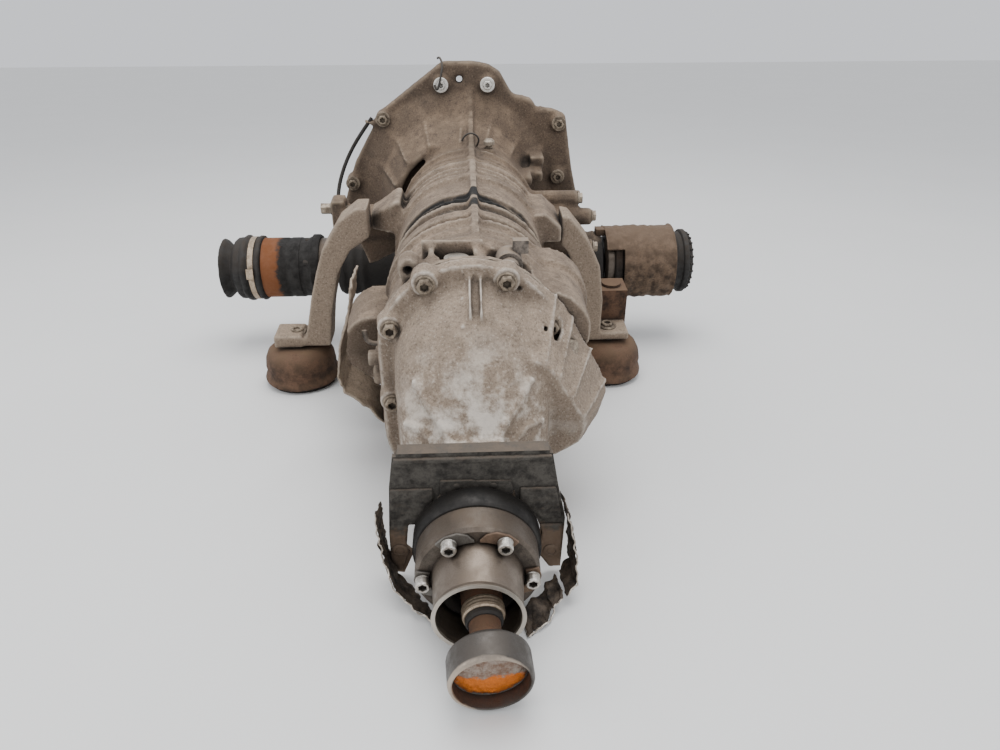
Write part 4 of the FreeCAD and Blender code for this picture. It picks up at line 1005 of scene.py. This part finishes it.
points, faces = [], []
for i in range(ACROSS + 1):
    x = spread(SHIELD_XS, ACROSS, i)
    for k in range(AROUND + 1):
        degrees = spread(SHIELD_ANGLES, AROUND, k)
        angle = math.radians(degrees)
        here = Vector((x, math.cos(angle) * 40, math.sin(angle) * 40))
        dents = 1.8 * noise.noise(here / 17.0) + 0.9 * noise.noise(here / 6.0)
        radius = 57 + dents + 0.5 * math.sin(x * 0.42)
        if i in (0, ACROSS):
            radius += 1.5
        points.append((x, *round_axle(radius, degrees)))
for i in range(ACROSS):
    for k in range(AROUND):
        opened = OPEN_ANGLES[0] < spread(SHIELD_ANGLES, AROUND, k) < OPEN_ANGLES[1]
        if opened and spread(SHIELD_XS, ACROSS, i) < OPEN_BEFORE_X:
            continue
        a = i * (AROUND + 1) + k
        faces.append([a, a + 1, a + AROUND + 2, a + AROUND + 1])
obj = add("right_shield_skin", (points, faces), SHIELD_SKIN, "root",
          ("right_heat_shield",), 0, 50)
gauge(obj, 0.0012, -1)
add("shield_strap", brick((222, 241), (-100, -84), (-55.5, -44.5)), SHIELD_SKIN, "root", (), 0.8)

# ------------------------------------------------------------------ left shield, hose, wires

LEFT_SHIELD = [(-108, 46), (-112, 20), (-126, -24), (-133, -62), (-128, -84), (-104, -104), (-76, -142),
               (-66, -147)]
line = []
for a, b in zip(LEFT_SHIELD, LEFT_SHIELD[1:]):
    line += [(spread((a[0], b[0]), 12, i), spread((a[1], b[1]), 12, i)) for i in range(12)]
line.append(LEFT_SHIELD[-1])
DEPTH = 26
points = []
for i, (x, z) in enumerate(line):
    for k in range(DEPTH + 1):
        here = Vector((x, -440 - 62 * k / DEPTH, z))
        shove = 2.2 * noise.noise(here / 14.0) + 1.0 * noise.noise(here / 5.0)
        ragged = noise.noise(Vector((i * 0.3, 2, 0))) * 5 * (k / DEPTH) ** 6
        points.append(here + Vector((-0.9, 0, 0.25)) * shove + Vector((0, -ragged, 0)))
shape = points, grid_faces(len(line), DEPTH + 1)
obj = add("left_shield_skin", shape, ARM_PAINT, "root", ("left_heat_shield",), 0, 50)
gauge(obj, 0.0022, 0)

# The breather hose's control points, as in part.py.
HOSE = [(-128, -12, 112), (-152, -20, 84), (-176, -36, 44), (-188, -58, 4), (-182, -88, -30),
        (-182, -88, -58)]


def smooth_line(name, points, diameter, paint, replaces=()):
    """A round cord or wire on one smooth line through its control points."""
    data = bpy.data.curves.new(name, "CURVE")
    data.dimensions = "3D"
    data.bevel_depth = diameter / 2 * MM
    data.bevel_resolution = 4
    data.use_fill_caps = True
    spline = data.splines.new("NURBS")
    spline.points.add(len(points) - 1)
    for spot, place in zip(spline.points, points):
        spot.co = (*(c * MM for c in place), 1)
    spline.order_u = 3
    spline.use_endpoint_u = True
    spline.resolution_u = 12
    return piece(name, data, paint, "root", replaces)


hose = smooth_line("breather_line", HOSE, 6, RUBBER, ("breather_hose",))
white_head = metal_paint("washed_bolt", srgb(226, 224, 218), srgb(150, 140, 126), 0.4, 0.4, 0.4, 120)
add("flange_bolt_heads", joined(*flange_heads), DUSTY_BOLT, "root")
add("flange_bolts_bright", joined(*white), white_head, "root")
DUSTY_SWITCH = metal_paint("dusty_switch", srgb(132, 122, 112), srgb(60, 56, 54), 0.7, 0.2, 0.8, 110, 0.8,
                           500, srgb(158, 140, 120))

# A zip tie round the upper left bolt, a wire clip on the rib and a hook on the left.
tie = [(-27, -34, 164), (-24, -38, 152), (-17, -34, 176), (-14, -26, 192), (-19, -10, 201), (-22, -4, 197)]
smooth_line("zip_tie", tie, 3.2, PLASTIC)
clip = [(12, -112, 100), (16, -112, 108), (26, -113, 112), (35, -113, 108), (38, -112, 99), (34, -110, 92)]
smooth_line("rib_wire_clip", clip, 2.6, PLASTIC)
hook = [(-101, -480, -16), (-101, -481, -26), (-94, -482, -32), (-84, -482, -32), (-76, -481, -26),
        (-74, -480, -17)]
smooth_line("cable_hook", hook, 5.5, DUSTY_SWITCH)

# ------------------------------------------------------------------ finish

# Every CAD node that still shows gets its own paint, or the one with its slot's name.
NODE_PAINT = {"rear_flange": DARK_RING, "rear_joint_cap": CAP_PAINT, "reverse_switch": DUSTY_SWITCH}
NODE_SLOT = {part["node"]: part["material_slot"] for part in frame["record"]["subparts"]}
for name, obj in NODES.items():
    if obj.hide_render:
        continue
    obj.data.materials.clear()
    obj.data.materials.append(NODE_PAINT.get(name) or PAINTS[NODE_SLOT[name]])
    if not obj.modifiers:
        soften(obj, 0.5)

CAMERA = bpy.data.objects.new("camera", bpy.data.cameras.new("camera"))
CAMERA.data.lens = 27
CAMERA.data.sensor_width = 36
CAMERA.data.clip_start = 0.01
CAMERA.location = (0.0187, -1.2325, 0.3825)
CAMERA.rotation_euler = (math.radians(58.5), 0, math.radians(-2.54))
bpy.context.scene.collection.objects.link(CAMERA)
bpy.context.scene.camera = CAMERA

if "Cube" in bpy.data.objects:
    bpy.data.objects.remove(bpy.data.objects["Cube"])

# The floor passes under both mounts and the shaft's end, so it is tilted in the row frame.
FLOOR_TILT = 0.1105
FLOOR_AT_FEET = -0.212
floor_mesh = bpy.data.meshes.new("floor")
floor_corners = [(x, y, FLOOR_AT_FEET + FLOOR_TILT * (FOOT_Y * MM - y))
                 for x, y in ((-9, -4), (9, -4), (9, 9), (-9, 9))]
floor_mesh.from_pydata(floor_corners, [], [(0, 1, 2, 3)])
floor = bpy.data.objects.new("floor", floor_mesh)
bpy.context.scene.collection.objects.link(floor)
floor_paint = Paint("floor", 0.6)
floor_paint.colour(floor_paint.mix(floor_paint.noise(3, 3), srgb(228, 228, 226), srgb(234, 234, 232)))
floor_mesh.materials.append(floor_paint.mat)

world = bpy.data.worlds.new("studio")
world.use_nodes = True
world.node_tree.nodes["Background"].inputs[0].default_value = (0.93, 0.95, 1.0, 1)
world.node_tree.nodes["Background"].inputs[1].default_value = 0.95
bpy.context.scene.world = world


def light(name, place, target, width, power, tint=(1, 1, 1)):
    data = bpy.data.lights.new(name, "AREA")
    data.size = width
    data.energy = power
    data.color = tint
    obj = bpy.data.objects.new(name, data)
    obj.location = place
    obj.rotation_euler = (Vector(target) - Vector(place)).to_track_quat("-Z", "Y").to_euler()
    bpy.context.scene.collection.objects.link(obj)


light("ceiling", (0.1, 0.1, 1.9), (0, -0.4, 0), 1.6, 34)
light("left_panel", (-1.6, -1.0, 1.1), (0, -0.4, -0.1), 1.0, 10)
light("front_panel", (0.5, -2.0, 1.2), (0, -0.5, -0.1), 1.0, 9)
